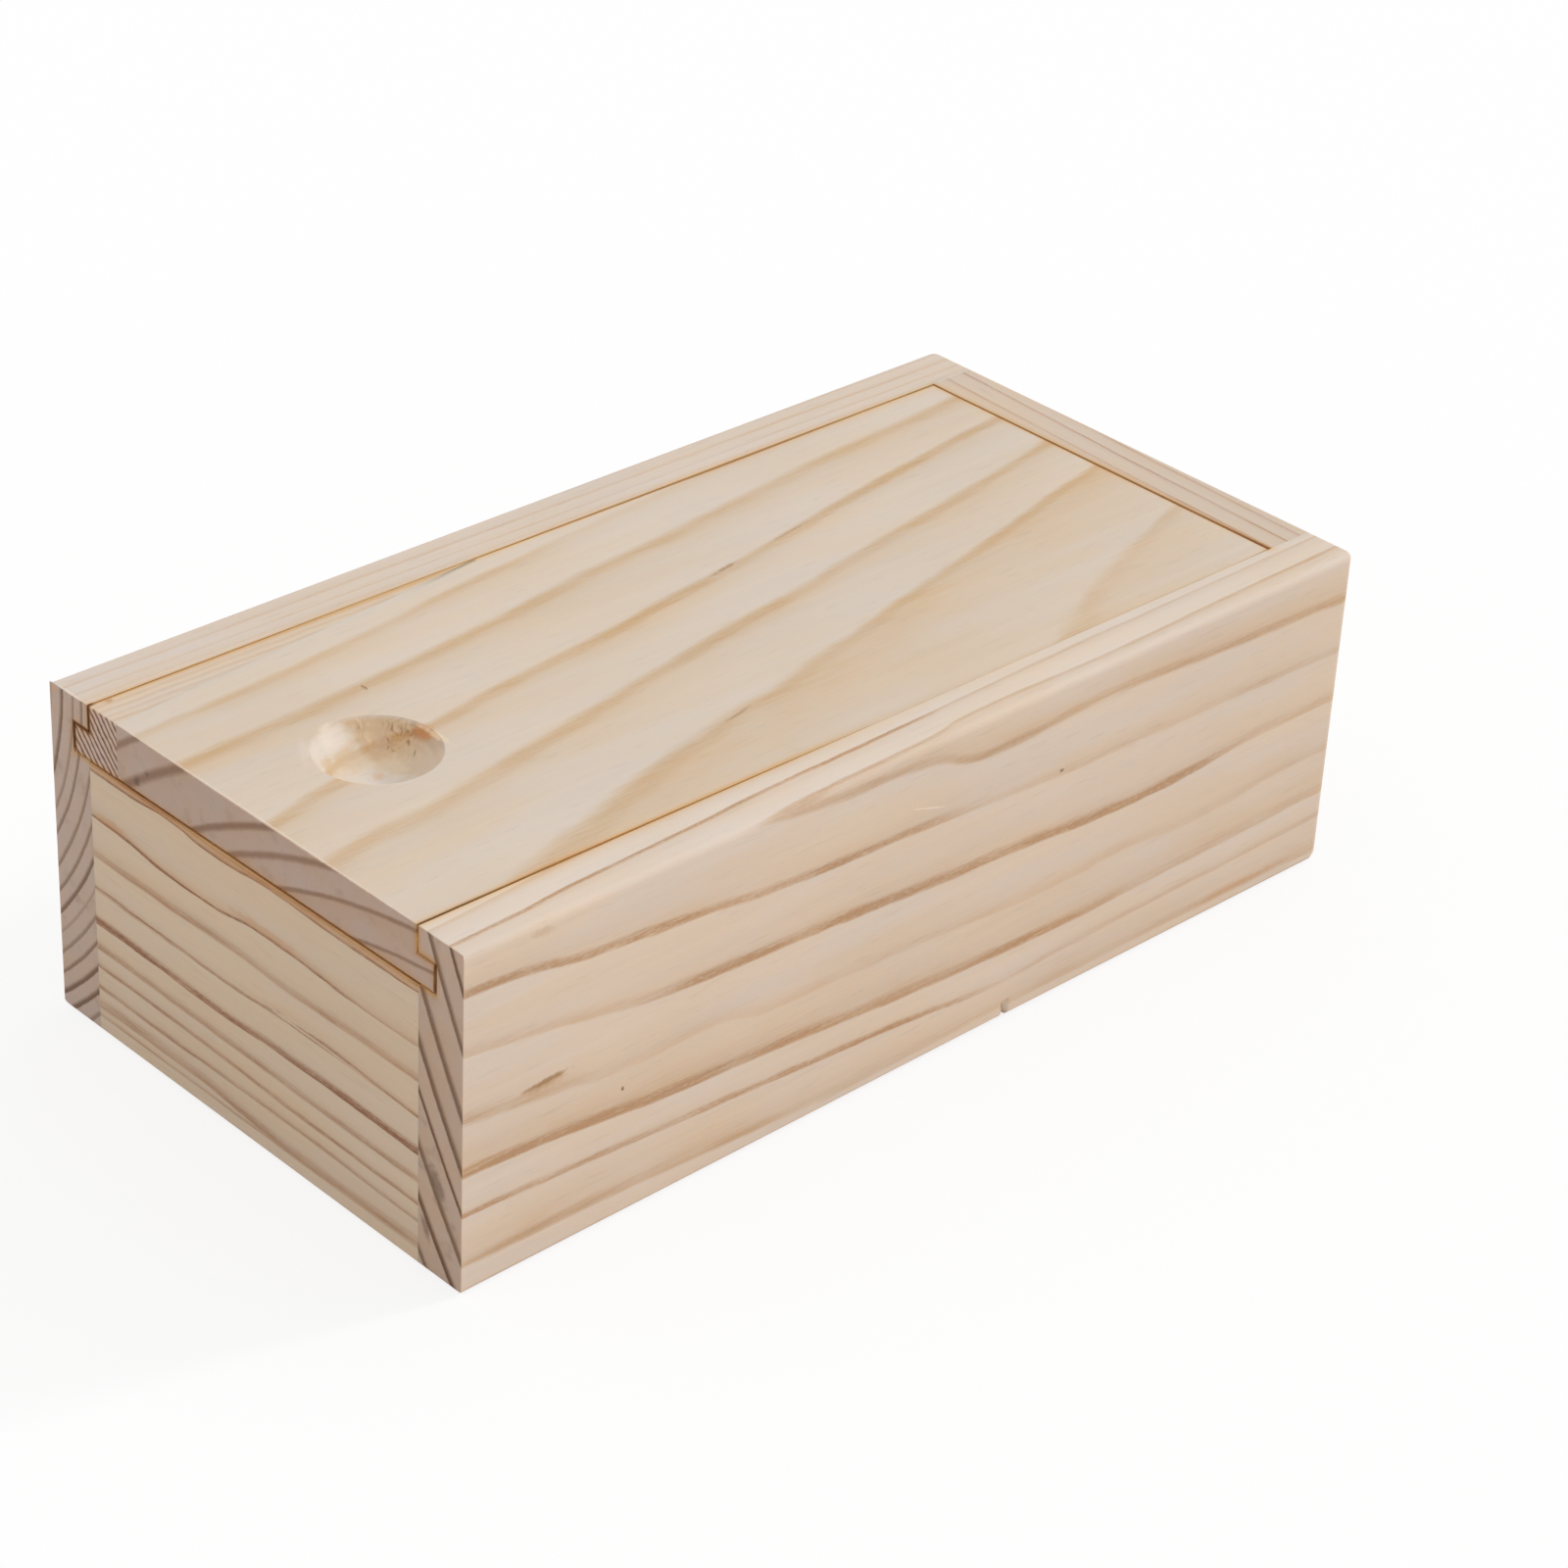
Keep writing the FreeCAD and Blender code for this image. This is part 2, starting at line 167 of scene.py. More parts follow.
class Wiring:
    """Adds nodes to one node tree and joins them."""

    def __init__(self, tree: bpy.types.NodeTree) -> None:
        """Keeps the tree that the nodes go into."""
        self.tree = tree

    def join(self, socket: Socket, value: Value) -> None:
        """Links a value into a socket, or writes it there.

        Args:
            socket: the socket that takes the value.
            value: another node's socket, a number or a list of numbers.
        """
        if isinstance(value, bpy.types.NodeSocket):
            self.tree.links.new(value, socket)
        else:
            socket.default_value = value

    def add(self, kind: str, inputs: Optional[dict] = None, **settings) -> bpy.types.Node:
        """Adds a node.

        Args:
            kind: the node's type.
            inputs: what goes into its sockets, by name or place.
            settings: the node's own options.

        Returns:
            The node.
        """
        node = self.tree.nodes.new(kind)
        for name, value in settings.items():
            setattr(node, name, value)
        for key, value in (inputs or {}).items():
            self.join(node.inputs[key], value)
        return node

    def math(self, operation: str, *values: Value, clamp: bool = False) -> Socket:
        """Does one sum with a Math node, whose answer stays between 0 and 1 if it is clamped."""
        inputs = dict(enumerate(values))
        return self.add("ShaderNodeMath", inputs, operation=operation, use_clamp=clamp).outputs[0]

    def chain(self, operation: str, first: Value, *others: Value, clamp: bool = False) -> Value:
        """Does a sum with the first two values, and again with its answer and each next one.

        Args:
            operation: the Math node's operation.
            first: the first value.
            others: the values that follow it.
            clamp: whether each answer stays between 0 and 1.

        Returns:
            The last answer.
        """
        for other in others:
            first = self.math(operation, first, other, clamp=clamp)
        return first

    plus = partialmethod(chain, "ADD")
    minus = partialmethod(chain, "SUBTRACT")
    times = partialmethod(chain, "MULTIPLY")
    over = partialmethod(chain, "DIVIDE")
    larger = partialmethod(chain, "MAXIMUM")
    smaller = partialmethod(chain, "MINIMUM")
    line = partialmethod(math, "MULTIPLY_ADD")
    absolute = partialmethod(math, "ABSOLUTE")

    def swing(self, pattern: Value, span: float, about: float = 0.0) -> Socket:
        """Turns a pattern about 0.5 into one about another number, over a span."""
        return self.line(pattern, span, about - span / 2)

    def vector(self, operation: str, *values: Value, output: str = "Vector") -> Socket:
        """Does one vector sum and returns the output of that name."""
        inputs = dict(enumerate(values))
        return self.add("ShaderNodeVectorMath", inputs, operation=operation).outputs[output]

    def scale(self, place: Socket, across: float, along: float) -> Socket:
        """Stretches a place, by one number across the grain and one along it."""
        return self.vector("MULTIPLY", place, (across, along, across))

    def millimetres(self, place: Value, fineness: float = 1.0) -> Socket:
        """Turns a place in metres to millimetres, or to finer steps than that."""
        inputs = {0: place, "Scale": fineness / MM}
        return self.add("ShaderNodeVectorMath", inputs, operation="SCALE").outputs["Vector"]

    def split(self, place: Socket) -> Sequence[Socket]:
        """Gives how far a place lies across, along and up."""
        return self.add("ShaderNodeSeparateXYZ", {0: place}).outputs[:]

    def gather(self, across: Value, along: Value = 0.0, up: Value = 0.0) -> Socket:
        """Makes a place of three distances."""
        return self.add("ShaderNodeCombineXYZ", {0: across, 1: along, 2: up}).outputs[0]

    def step(self, value: Value, low: Value, high: Value, start: float = 0.0, end: float = 1.0) -> Socket:
        """Rises smoothly from one number to another.

        Args:
            value: what is measured.
            low: where the rise begins.
            high: where it ends.
            start: the answer up to low.
            end: the answer past high.

        Returns:
            The answer.
        """
        inputs = {"Value": value, "From Min": low, "From Max": high, "To Min": start, "To Max": end}
        node = self.add("ShaderNodeMapRange", inputs, interpolation_type="SMOOTHSTEP")
        return node.outputs["Result"]

    def fall(self, value: Value, low: Value, high: Value, start: float = 1.0) -> Socket:
        """Falls smoothly to 0."""
        return self.step(value, low, high, start, 0.0)

    def mix(self, factor: Value, first: Value, second: Value, mode: str = "MIX") -> Socket:
        """Mixes two colours.

        Args:
            factor: how much of the second.
            first: the first colour.
            second: the second colour.
            mode: how they are mixed.

        Returns:
            The mixed colour.
        """
        inputs = {0: factor, 6: first, 7: second}
        return self.add("ShaderNodeMix", inputs, data_type="RGBA", blend_type=mode).outputs[2]

    def stain(self, colour: Socket, tint: Value, share: Value = 1.0) -> Socket:
        """Multiplies a colour by a tint."""
        return self.mix(share, colour, tint, "MULTIPLY")

    def noise(self, place: Socket, detail: float = 2.0, roughness: float = 0.5) -> Socket:
        """Gives a cloudy value about 0.5, with cells one unit across."""
        inputs = {"Vector": place, "Scale": 1.0, "Detail": detail, "Roughness": roughness}
        return self.add("ShaderNodeTexNoise", inputs).outputs[0]


def clear_wiring(owner: Union[bpy.types.Material, bpy.types.World]) -> Wiring:
    """Gives a material or a world an empty node tree.

    Args:
        owner: the material or the world.

    Returns:
        The wiring of its tree.
    """
    owner.use_nodes = True
    owner.node_tree.nodes.clear()
    return Wiring(owner.node_tree)


class ShaderGroup:
    """A shader node group that is built once and placed in each material."""

    name = ""
    inputs: dict[str, Value] = {}
    outputs: dict[str, str] = {}

    def wire(self, wiring: Wiring, given: Sequence) -> dict[str, Socket]:
        """Wires the inside of the group; each group has its own way.

        Args:
            wiring: the group's own wiring.
            given: the sockets of the inputs, by name.

        Returns:
            What goes to each output.
        """
        raise NotImplementedError

    def tree(self) -> bpy.types.NodeTree:
        """Finds the group, or builds it.

        Returns:
            The group's node tree.
        """
        found = bpy.data.node_groups.get(self.name)
        if found:
            return found
        tree = bpy.data.node_groups.new(self.name, "ShaderNodeTree")
        for name, value in self.inputs.items():
            kind = "Float" if isinstance(value, float) else "Vector" if len(value) == 3 else "Color"
            socket = tree.interface.new_socket(name, in_out="INPUT", socket_type=f"NodeSocket{kind}")
            socket.default_value = value
        for name, kind in self.outputs.items():
            tree.interface.new_socket(name, in_out="OUTPUT", socket_type=f"NodeSocket{kind}")
        wiring = Wiring(tree)
        given = wiring.add("NodeGroupInput").outputs
        wiring.add("NodeGroupOutput", self.wire(wiring, given))
        return tree

    def place(self, wiring: Wiring, **values: Value) -> Sequence:
        """Puts the group in a material.

        Args:
            wiring: the material's wiring.
            values: what goes into the inputs, with _ for a space.

        Returns:
            The outputs, by name.
        """
        inputs = {name.replace("_", " "): value for name, value in values.items()}
        return wiring.add("ShaderNodeGroup", inputs, node_tree=self.tree()).outputs


class GrainAxis(ShaderGroup):
    """How far a point of the wood lies from the middle of the tree."""

    name = "pine_grain_axis"
    inputs = {
        "Place": (0.0, 0.0, 0.0), "Pith Across": 0.0, "Pith Up": 0.0, "Lean Across": 0.0, "Lean Up": 0.0,
        "Bend Up": 0.0, "Wander": 0.3, "Ragged": 1.0, "Seed": 0.0,
    }
    outputs = {"Millimetres": "Vector", "Reach": "Float", "Along": "Float"}
    # The cells of each cloud across and along the grain, its span, and the input that sets its strength.
    clouds = (
        (30.0, 45.0, 3.2, "Wander"), (8.0, 20.0, 1.0, "Wander"),
        (2.5, 8.0, 0.26, "Ragged"), (0.6, 3.5, 0.26, "Ragged"),
    )

    def wire(self, wiring: Wiring, given: Sequence) -> dict[str, Socket]:
        """Measures from a leaning pith line, with slow wanders and a ragged edge on top."""
        place = wiring.millimetres(given["Place"])
        level = wiring.split(place)[Axis.LENGTH.value]
        along = wiring.plus(level, HALF_LENGTH)
        across = wiring.line(given["Lean Across"], along, given["Pith Across"])
        up = wiring.line(given["Lean Up"], along, given["Pith Up"])
        up = wiring.line(given["Bend Up"], wiring.times(along, along), up)
        reach = wiring.vector("DISTANCE", place, wiring.gather(across, level, up), output="Value")
        moved = wiring.vector("ADD", place, wiring.gather(given["Seed"], given["Seed"]))
        for across_cell, along_cell, span, strength in self.clouds:
            cloud = wiring.noise(wiring.scale(moved, 1 / across_cell, 1 / along_cell), detail=0.0)
            reach = wiring.line(wiring.swing(cloud, span), given[strength], reach)
        return {"Millimetres": place, "Reach": reach, "Along": along}


class GrowthLine(ShaderGroup):
    """One growth ring: a soft bark-side edge, a dark core and a tan fade towards the pith."""

    name = "pine_growth_line"
    inputs = {
        "Reach": 0.0, "Along": 0.0, "Edge At": 50.0, "Edge": 0.3, "Core": 0.4, "Fade": 1.5, "Dark": 0.5,
        "Tan": 0.7, "End": 0.8, "Strong From": -50.0, "Strong To": 200.0, "Patches": 0.5,
        "Dark So Far": 0.0, "Tan So Far": 0.0, "End So Far": 0.0,
    }
    outputs = dict.fromkeys(("Dark", "Tan", "End"), "Float")
    # In cores past the edge: where the core begins to fade, and where it is gone on a face and in end grain.
    core_full, core_gone, end_gone = 0.45, 1.65, 2.3
    # A strong stretch begins this far outside its ends and is full this far inside them.
    outside, inside, faint = 9.0, 4.0, 0.2
    patch_edges, patch_range = (0.34, 0.66), (0.6, 1.25)

    def wire(self, wiring: Wiring, given: Sequence) -> dict[str, Socket]:
        """Adds one ring's masks to those of the rings before it."""
        deep = wiring.minus(given["Edge At"], given["Reach"])
        edge = wiring.step(deep, 0.0, given["Edge"])
        full, gone, end_gone = (
            wiring.line(given["Core"], cores, given["Edge"])
            for cores in (self.core_full, self.core_gone, self.end_gone)
        )
        past = wiring.larger(wiring.minus(deep, given["Edge"]), 0.0)
        fade = wiring.math("EXPONENT", wiring.times(wiring.over(past, given["Fade"]), -1.0))
        before = wiring.minus(given["Along"], given["Strong From"])
        after = wiring.minus(given["Along"], given["Strong To"])
        strong = wiring.times(
            wiring.step(before, -self.outside, self.inside, self.faint, 1.0),
            wiring.step(after, -self.inside, self.outside, 1.0, self.faint),
        )
        patchy = wiring.step(given["Patches"], *self.patch_edges, *self.patch_range)
        lasting = wiring.times(wiring.line(given["Patches"], 1.1, 0.45), wiring.line(strong, 0.45, 0.55))
        masks = {
            "Dark": wiring.times(edge, wiring.fall(deep, full, gone), given["Dark"], patchy, strong),
            "Tan": wiring.times(edge, fade, given["Tan"], lasting),
            "End": wiring.times(edge, wiring.fall(deep, full, end_gone), given["End"]),
        }
        return {
            name: wiring.larger(mask, given[f"{name} So Far"], clamp=True) for name, mask in masks.items()
        }


class CloseRings(ShaderGroup):
    """Many thin rings at an even spacing, as in a piece cut from slow-grown wood."""

    name = "pine_close_rings"
    inputs = {"Reach": 0.0, "Spacing": 0.8, "Dark": 0.25, "Tan": 0.4, "End": 1.0}
    outputs = dict.fromkeys(("Dark", "Tan", "End"), "Float")
    # In shares of the spacing.
    dark_rise, tan_rise, bark_side = (0.35, 0.72), (0.05, 0.8), (0.86, 1.0)

    def wire(self, wiring: Wiring, given: Sequence) -> dict[str, Socket]:
        """Repeats one ring's masks."""
        turn = wiring.math("FRACT", wiring.over(given["Reach"], given["Spacing"]))
        edge = wiring.fall(turn, *self.bark_side)
        dark = wiring.times(wiring.step(turn, *self.dark_rise), edge)
        tan = wiring.times(wiring.step(turn, *self.tan_rise), edge)
        masks = {"Dark": dark, "Tan": tan, "End": dark}
        return {name: wiring.times(mask, given[name]) for name, mask in masks.items()}


class Fibres(ShaderGroup):
    """The fine streaks along the grain and the pores across it."""

    name = "pine_fibres"
    inputs = {"Millimetres": (0.0, 0.0, 0.0), "Seed": 0.0}
    # How fine each pattern is across and along the grain, and its detail and roughness.
    patterns = {
        "Streaks": (0.9, 0.02, 3.0, 0.6), "Threads": (5.0, 0.14, 2.0, 0.6),
        "Patches": (0.25, 0.055, 2.0, 0.5), "Pores": (5.5, 1.2, 2.0, 0.7),
        "Clouds": (0.045, 0.03, 1.0, 0.5), "Warmth": (0.22, 0.035, 1.0, 0.5),
        "Ducts": (3.2, 0.22, 0.0, 0.5), "Blotches": (0.38, 0.38, 2.0, 0.5),
    }
    outputs = dict.fromkeys(patterns, "Float")
    duct_edges = (0.70, 0.78)

    def wire(self, wiring: Wiring, given: Sequence) -> dict[str, Socket]:
        """Stretches noise along the grain at several widths."""
        place = wiring.vector("ADD", given["Millimetres"], wiring.gather(given["Seed"], 0.0, given["Seed"]))
        found = {
            name: wiring.noise(wiring.scale(place, across, along), detail, roughness)
            for name, (across, along, detail, roughness) in self.patterns.items()
        }
        return {**found, "Ducts": wiring.step(found["Ducts"], *self.duct_edges)}


class PaintedGapLight(ShaderGroup):
    """How near a point lies to the narrow gaps around the lid: a mask for painted warm bounce light where
    light soaks through the wood, and one for painted shade deep in the gaps.
    """

    name = "pine_painted_gap_light"
    inputs = {"Place": (0.0, 0.0, 0.0), "Width": 0.36}
    outputs = dict.fromkeys(("Mask", "Deep"), "Float")
    slack = 0.2
    cheek, tip = 29.8, 32.8
    floor, shoulder = 37.55, 41.5
    front_inside, back = -65.0, 64.7
    # The right-hand gap closes up towards the back, but not at the corner.
    closing, closed, corner = (-20.0, 0.0), 0.8, (63.4, 64.2)
    # The rims where the gap is open to the light, which bound the painted warm light, and the walls deep in
    # it that get painted shade.
    top_rim, front_rim = (43.4, 44.6), (-72.1, -71.0)
    front_end, front_dark, over_floor, over_tongue = (-72.3, -71.2), 0.85, (37.6, 38.0), (41.0, 41.6)
    wall_edges = (0.22, 0.38)

    def wire(self, wiring: Wiring, given: Sequence) -> dict[str, Socket]:
        """Takes the distance to the nearest flat of the gap, and fades it where the gap closes up, for the
        painted warm light and the painted shade.
        """
        place = wiring.millimetres(given["Place"])
        across, along, up = wiring.split(place)
        away = wiring.absolute(across)
        behind = wiring.minus(along, self.back)
        inward, outward = wiring.minus(self.cheek, away), wiring.minus(away, self.cheek)
        past_tip = wiring.minus(away, self.tip)
        below, above = wiring.minus(self.floor, up), wiring.minus(up, self.shoulder)

        def off(value: Socket, at: float) -> Socket:
            """Gives the distance to a flat."""
            return wiring.absolute(wiring.minus(value, at))

        flats = (
            (off(away, self.cheek), wiring.minus(self.shoulder, up), behind),
            (off(up, self.shoulder), inward, past_tip, behind),
            (off(away, self.tip), below, above, behind),
            (off(up, self.floor), inward, past_tip, behind),
            (off(up, self.floor), outward, wiring.minus(along, self.front_inside)),
            (off(along, self.back), outward, below),
        )
        nearest = wiring.smaller(*(wiring.larger(*flat) for flat in flats))
        wobble = wiring.noise(wiring.scale(place, 0.3, 0.06), detail=1.0)
        width = wiring.times(given["Width"], wiring.swing(wobble, -1.6, -1.0))
        beyond = wiring.larger(wiring.minus(nearest, self.slack), 0.0)
        soaked = wiring.math("EXPONENT", wiring.over(beyond, width), clamp=True)
        on_right = wiring.step(across, -1.0, 1.0)
        tight = wiring.times(
            wiring.step(along, *self.closing, 0.0, self.closed), on_right, wiring.fall(along, *self.corner),
        )
        mouth = wiring.larger(wiring.step(up, *self.top_rim), wiring.fall(along, *self.front_rim))
        right_cheek = wiring.times(on_right, wiring.step(up, *self.over_tongue))
        # Painted shade deep inside the gaps and the tongue slots, darkest at the lid's front.
        deep = wiring.times(
            wiring.fall(nearest, *self.wall_edges), wiring.fall(along, *self.front_end, self.front_dark),
            wiring.step(up, *self.over_floor), wiring.minus(1.0, right_cheek),
        )
        return {"Mask": wiring.times(soaked, wiring.minus(1.0, tight), mouth), "Deep": deep}


class SmallMark(ShaderGroup):
    """One small mark, such as a fleck, a scratch or a painted highlight, with a ragged edge."""

    name = "pine_small_mark"
    inputs = {
        "Place": (0.0, 0.0, 0.0), "Centre": (0.0, 0.0, 0.0), "Size": (1.0, 1.0, 1.0),
        "Turn": (0.0, 0.0, 0.0), "Strength": 0.5,
    }
    outputs = {"Mask": "Float"}
    fineness, raggedness, soft_edge = 1.3, 0.9, (0.25, 1.0)

    def wire(self, wiring: Wiring, given: Sequence) -> dict[str, Socket]:
        """Measures from the mark's middle, in its own turned and stretched lengths."""
        inputs = {
            "Vector": given["Place"], "Location": given["Centre"], "Rotation": given["Turn"],
            "Scale": given["Size"],
        }
        own = wiring.add("ShaderNodeMapping", inputs, vector_type="TEXTURE").outputs[0]
        ragged = wiring.noise(wiring.millimetres(given["Place"], self.fineness))
        reach = wiring.vector("LENGTH", own, output="Value")
        reach = wiring.plus(reach, wiring.swing(ragged, self.raggedness))
        return {"Mask": wiring.times(wiring.fall(reach, *self.soft_edge), given["Strength"])}


class ScoopPaintedLight(ShaderGroup):
    """Painted light and shade in the scoop: a warm painted shade on the wall that lies in shadow, and a
    painted highlight on the lit wall.
    """

    name = "pine_scoop_painted_light"
    inputs = {"Place": (0.0, 0.0, 0.0), "Centre": (0.0, 0.0, 0.0), "Radius": 7.75, "Top": 45.0}
    outputs = dict.fromkeys(("Painted Shade", "Painted Light"), "Float")
    rim, wall = (1.0, 1.04), (0.02, 0.5)
    slant, cloud_cell, cloudy = -0.1, (0.8, 0.5), 2.4
    torn_edges, right_fade = (1.0, 2.8), (-4.0, 5.0, 1.0, 0.5)

    def wire(self, wiring: Wiring, given: Sequence) -> dict[str, Socket]:
        """Splits the scoop's wall at a ragged line across its middle, below the rim, where the painted shade
        meets the painted highlight.
        """
        place = wiring.millimetres(given["Place"])
        across, along, _ = wiring.split(wiring.vector("SUBTRACT", place, given["Centre"]))
        out = wiring.vector("LENGTH", wiring.gather(across, along), output="Value")
        within = wiring.fall(wiring.over(out, given["Radius"]), *self.rim)
        below = wiring.minus(given["Top"], wiring.split(place)[Axis.HEIGHT.value])
        worked = wiring.times(wiring.step(below, *self.wall), within)
        cloud = wiring.noise(wiring.scale(place, *self.cloud_cell))
        slant = wiring.plus(wiring.line(across, self.slant, along), wiring.swing(cloud, self.cloudy))
        # The ragged line follows the lamp's shadow edge in the scoop: painted shade beyond it, painted
        # highlight before it.
        torn = wiring.step(slant, *self.torn_edges)
        return {
            "Painted Shade": wiring.times(worked, torn, wiring.step(across, *self.right_fade)),
            "Painted Light": wiring.times(worked, wiring.minus(1.0, torn)),
        }


class PineSurface(ShaderGroup):
    """Turns the rings and fibres into colour, roughness and height, and adds the painted light and shade of
    the lid's gaps.
    """

    name = "pine_surface"
    inputs = {
        **dict.fromkeys(("Pale", "Tan", "Dark", "End Shade", "End Dark"), paint(222, 205, 186)),
        "Painted Gap Bounce Tint": paint(255, 228, 182), "Painted Gap Shade": paint(112, 70, 38),
        **dict.fromkeys(("Tan Mask", "Dark Mask", "End Mask", "End", "Seam", "Deep", "Ducts"), 0.0),
        **dict.fromkeys(("Blotches", "Streaks", "Threads", "Pores", "Clouds", "Warmth"), 0.5),
    }
    outputs = {"Color": "Color", "Roughness": "Float", "Height": "Float"}
    cool, warm, warm_edges = paint(253, 254, 255), paint(255, 252, 246), (0.35, 0.65)
    # How far each pattern lightens or darkens the wood.
    streak, cloud, thread, pore, duct = 0.10, 0.08, 0.06, 0.16, 0.05
    blotches = (0.56, 0.78, 0.0, 0.26)

    def wire(self, wiring: Wiring, given: Sequence) -> dict[str, Socket]:
        """Layers the wood from pale to dark, along the grain and across it."""
        colour = wiring.mix(given["End"], self.along_grain(wiring, given), self.end_grain(wiring, given))
        warm = wiring.step(given["Warmth"], *self.warm_edges)
        colour = wiring.stain(colour, wiring.mix(warm, self.cool, self.warm))
        tone = self.tone(wiring, given)
        grey = wiring.add("ShaderNodeCombineColor", {0: tone, 1: tone, 2: tone}).outputs[0]
        colour = wiring.stain(colour, grey)
        # Painted warm bounce light near the lid's gaps.
        colour = wiring.stain(colour, given["Painted Gap Bounce Tint"], given["Seam"])
        # Painted shade, dark brown, deep inside the gaps and slots.
        colour = wiring.mix(given["Deep"], colour, given["Painted Gap Shade"])
        rough = wiring.line(given["Streaks"], 0.12, 0.52)
        rough = wiring.line(given["End"], 0.15, rough)
        rough = wiring.line(given["Dark Mask"], -0.08, rough)
        height = wiring.line(given["Dark Mask"], 0.5, given["Threads"])
        height = wiring.line(given["End"], given["Pores"], height)
        return {"Color": colour, "Roughness": rough, "Height": height}

    def along_grain(self, wiring: Wiring, given: Sequence) -> Socket:
        """Gives the colour of a face along the grain, where fine threads break up the rings."""
        fading = wiring.times(given["Tan Mask"], wiring.line(given["Threads"], 1.6, 0.2), clamp=True)
        grainy = wiring.line(wiring.plus(given["Threads"], given["Pores"]), 2.4, -1.35)
        core = wiring.times(given["Dark Mask"], grainy, clamp=True)
        return wiring.mix(core, wiring.mix(fading, given["Pale"], given["Tan"]), given["Dark"])

    def end_grain(self, wiring: Wiring, given: Sequence) -> Socket:
        """Gives the colour of a face across the grain, which is greyer and blotched."""
        colour = wiring.mix(wiring.times(given["Tan Mask"], 0.6), given["Pale"], given["Tan"])
        smeared = wiring.times(given["End Mask"], wiring.line(given["Pores"], 0.9, 0.6))
        smeared = wiring.larger(smeared, wiring.step(given["Blotches"], *self.blotches), clamp=True)
        return wiring.mix(smeared, wiring.stain(colour, given["End Shade"]), given["End Dark"])

    def tone(self, wiring: Wiring, given: Sequence) -> Socket:
        """Gives how light the wood is, from its fine patterns."""
        flat = wiring.minus(1.0, given["End"])
        streaks = wiring.swing(given["Streaks"], self.streak, 1.0)
        tone = wiring.times(streaks, wiring.swing(given["Clouds"], self.cloud, 1.0))
        tone = wiring.line(given["Threads"], wiring.times(flat, self.thread), tone)
        tone = wiring.line(given["Pores"], wiring.times(given["End"], self.pore), tone)
        ducts = wiring.times(given["Ducts"], flat, self.duct)
        return wiring.minus(tone, wiring.line(given["End"], 0.02, 0.03), ducts)


# ---------------------------------------------------------------- finishes


@dataclass(frozen=True)
class GrowthRing:
    """One growth ring, by how far from the pith it begins, or by its course along the board.

    A course gives, at some places along the board, the ring's place on the face that the finish
    names: its height on the outer face, or how far across it lies on the top.
    """

    reach: float = 0.0
    edge: float = 0.2
    core: float = 0.4
    fade: float = 1.2
    dark: float = 0.5
    tan: float = 0.7
    end: float = 0.8
    strong: tuple[float, float] = (-50.0, 200.0)
    course: Course = ()


@dataclass(frozen=True)
class Mark:
    """A fleck, a scratch, a stain, or a patch of painted highlight or shade: its middle, half-lengths,
    colour, strength and turn in degrees.
    """

    centre: Triple
    size: Triple
    colour: Triple
    strength: float
    turn: Triple = (0.0, 0.0, 0.0)


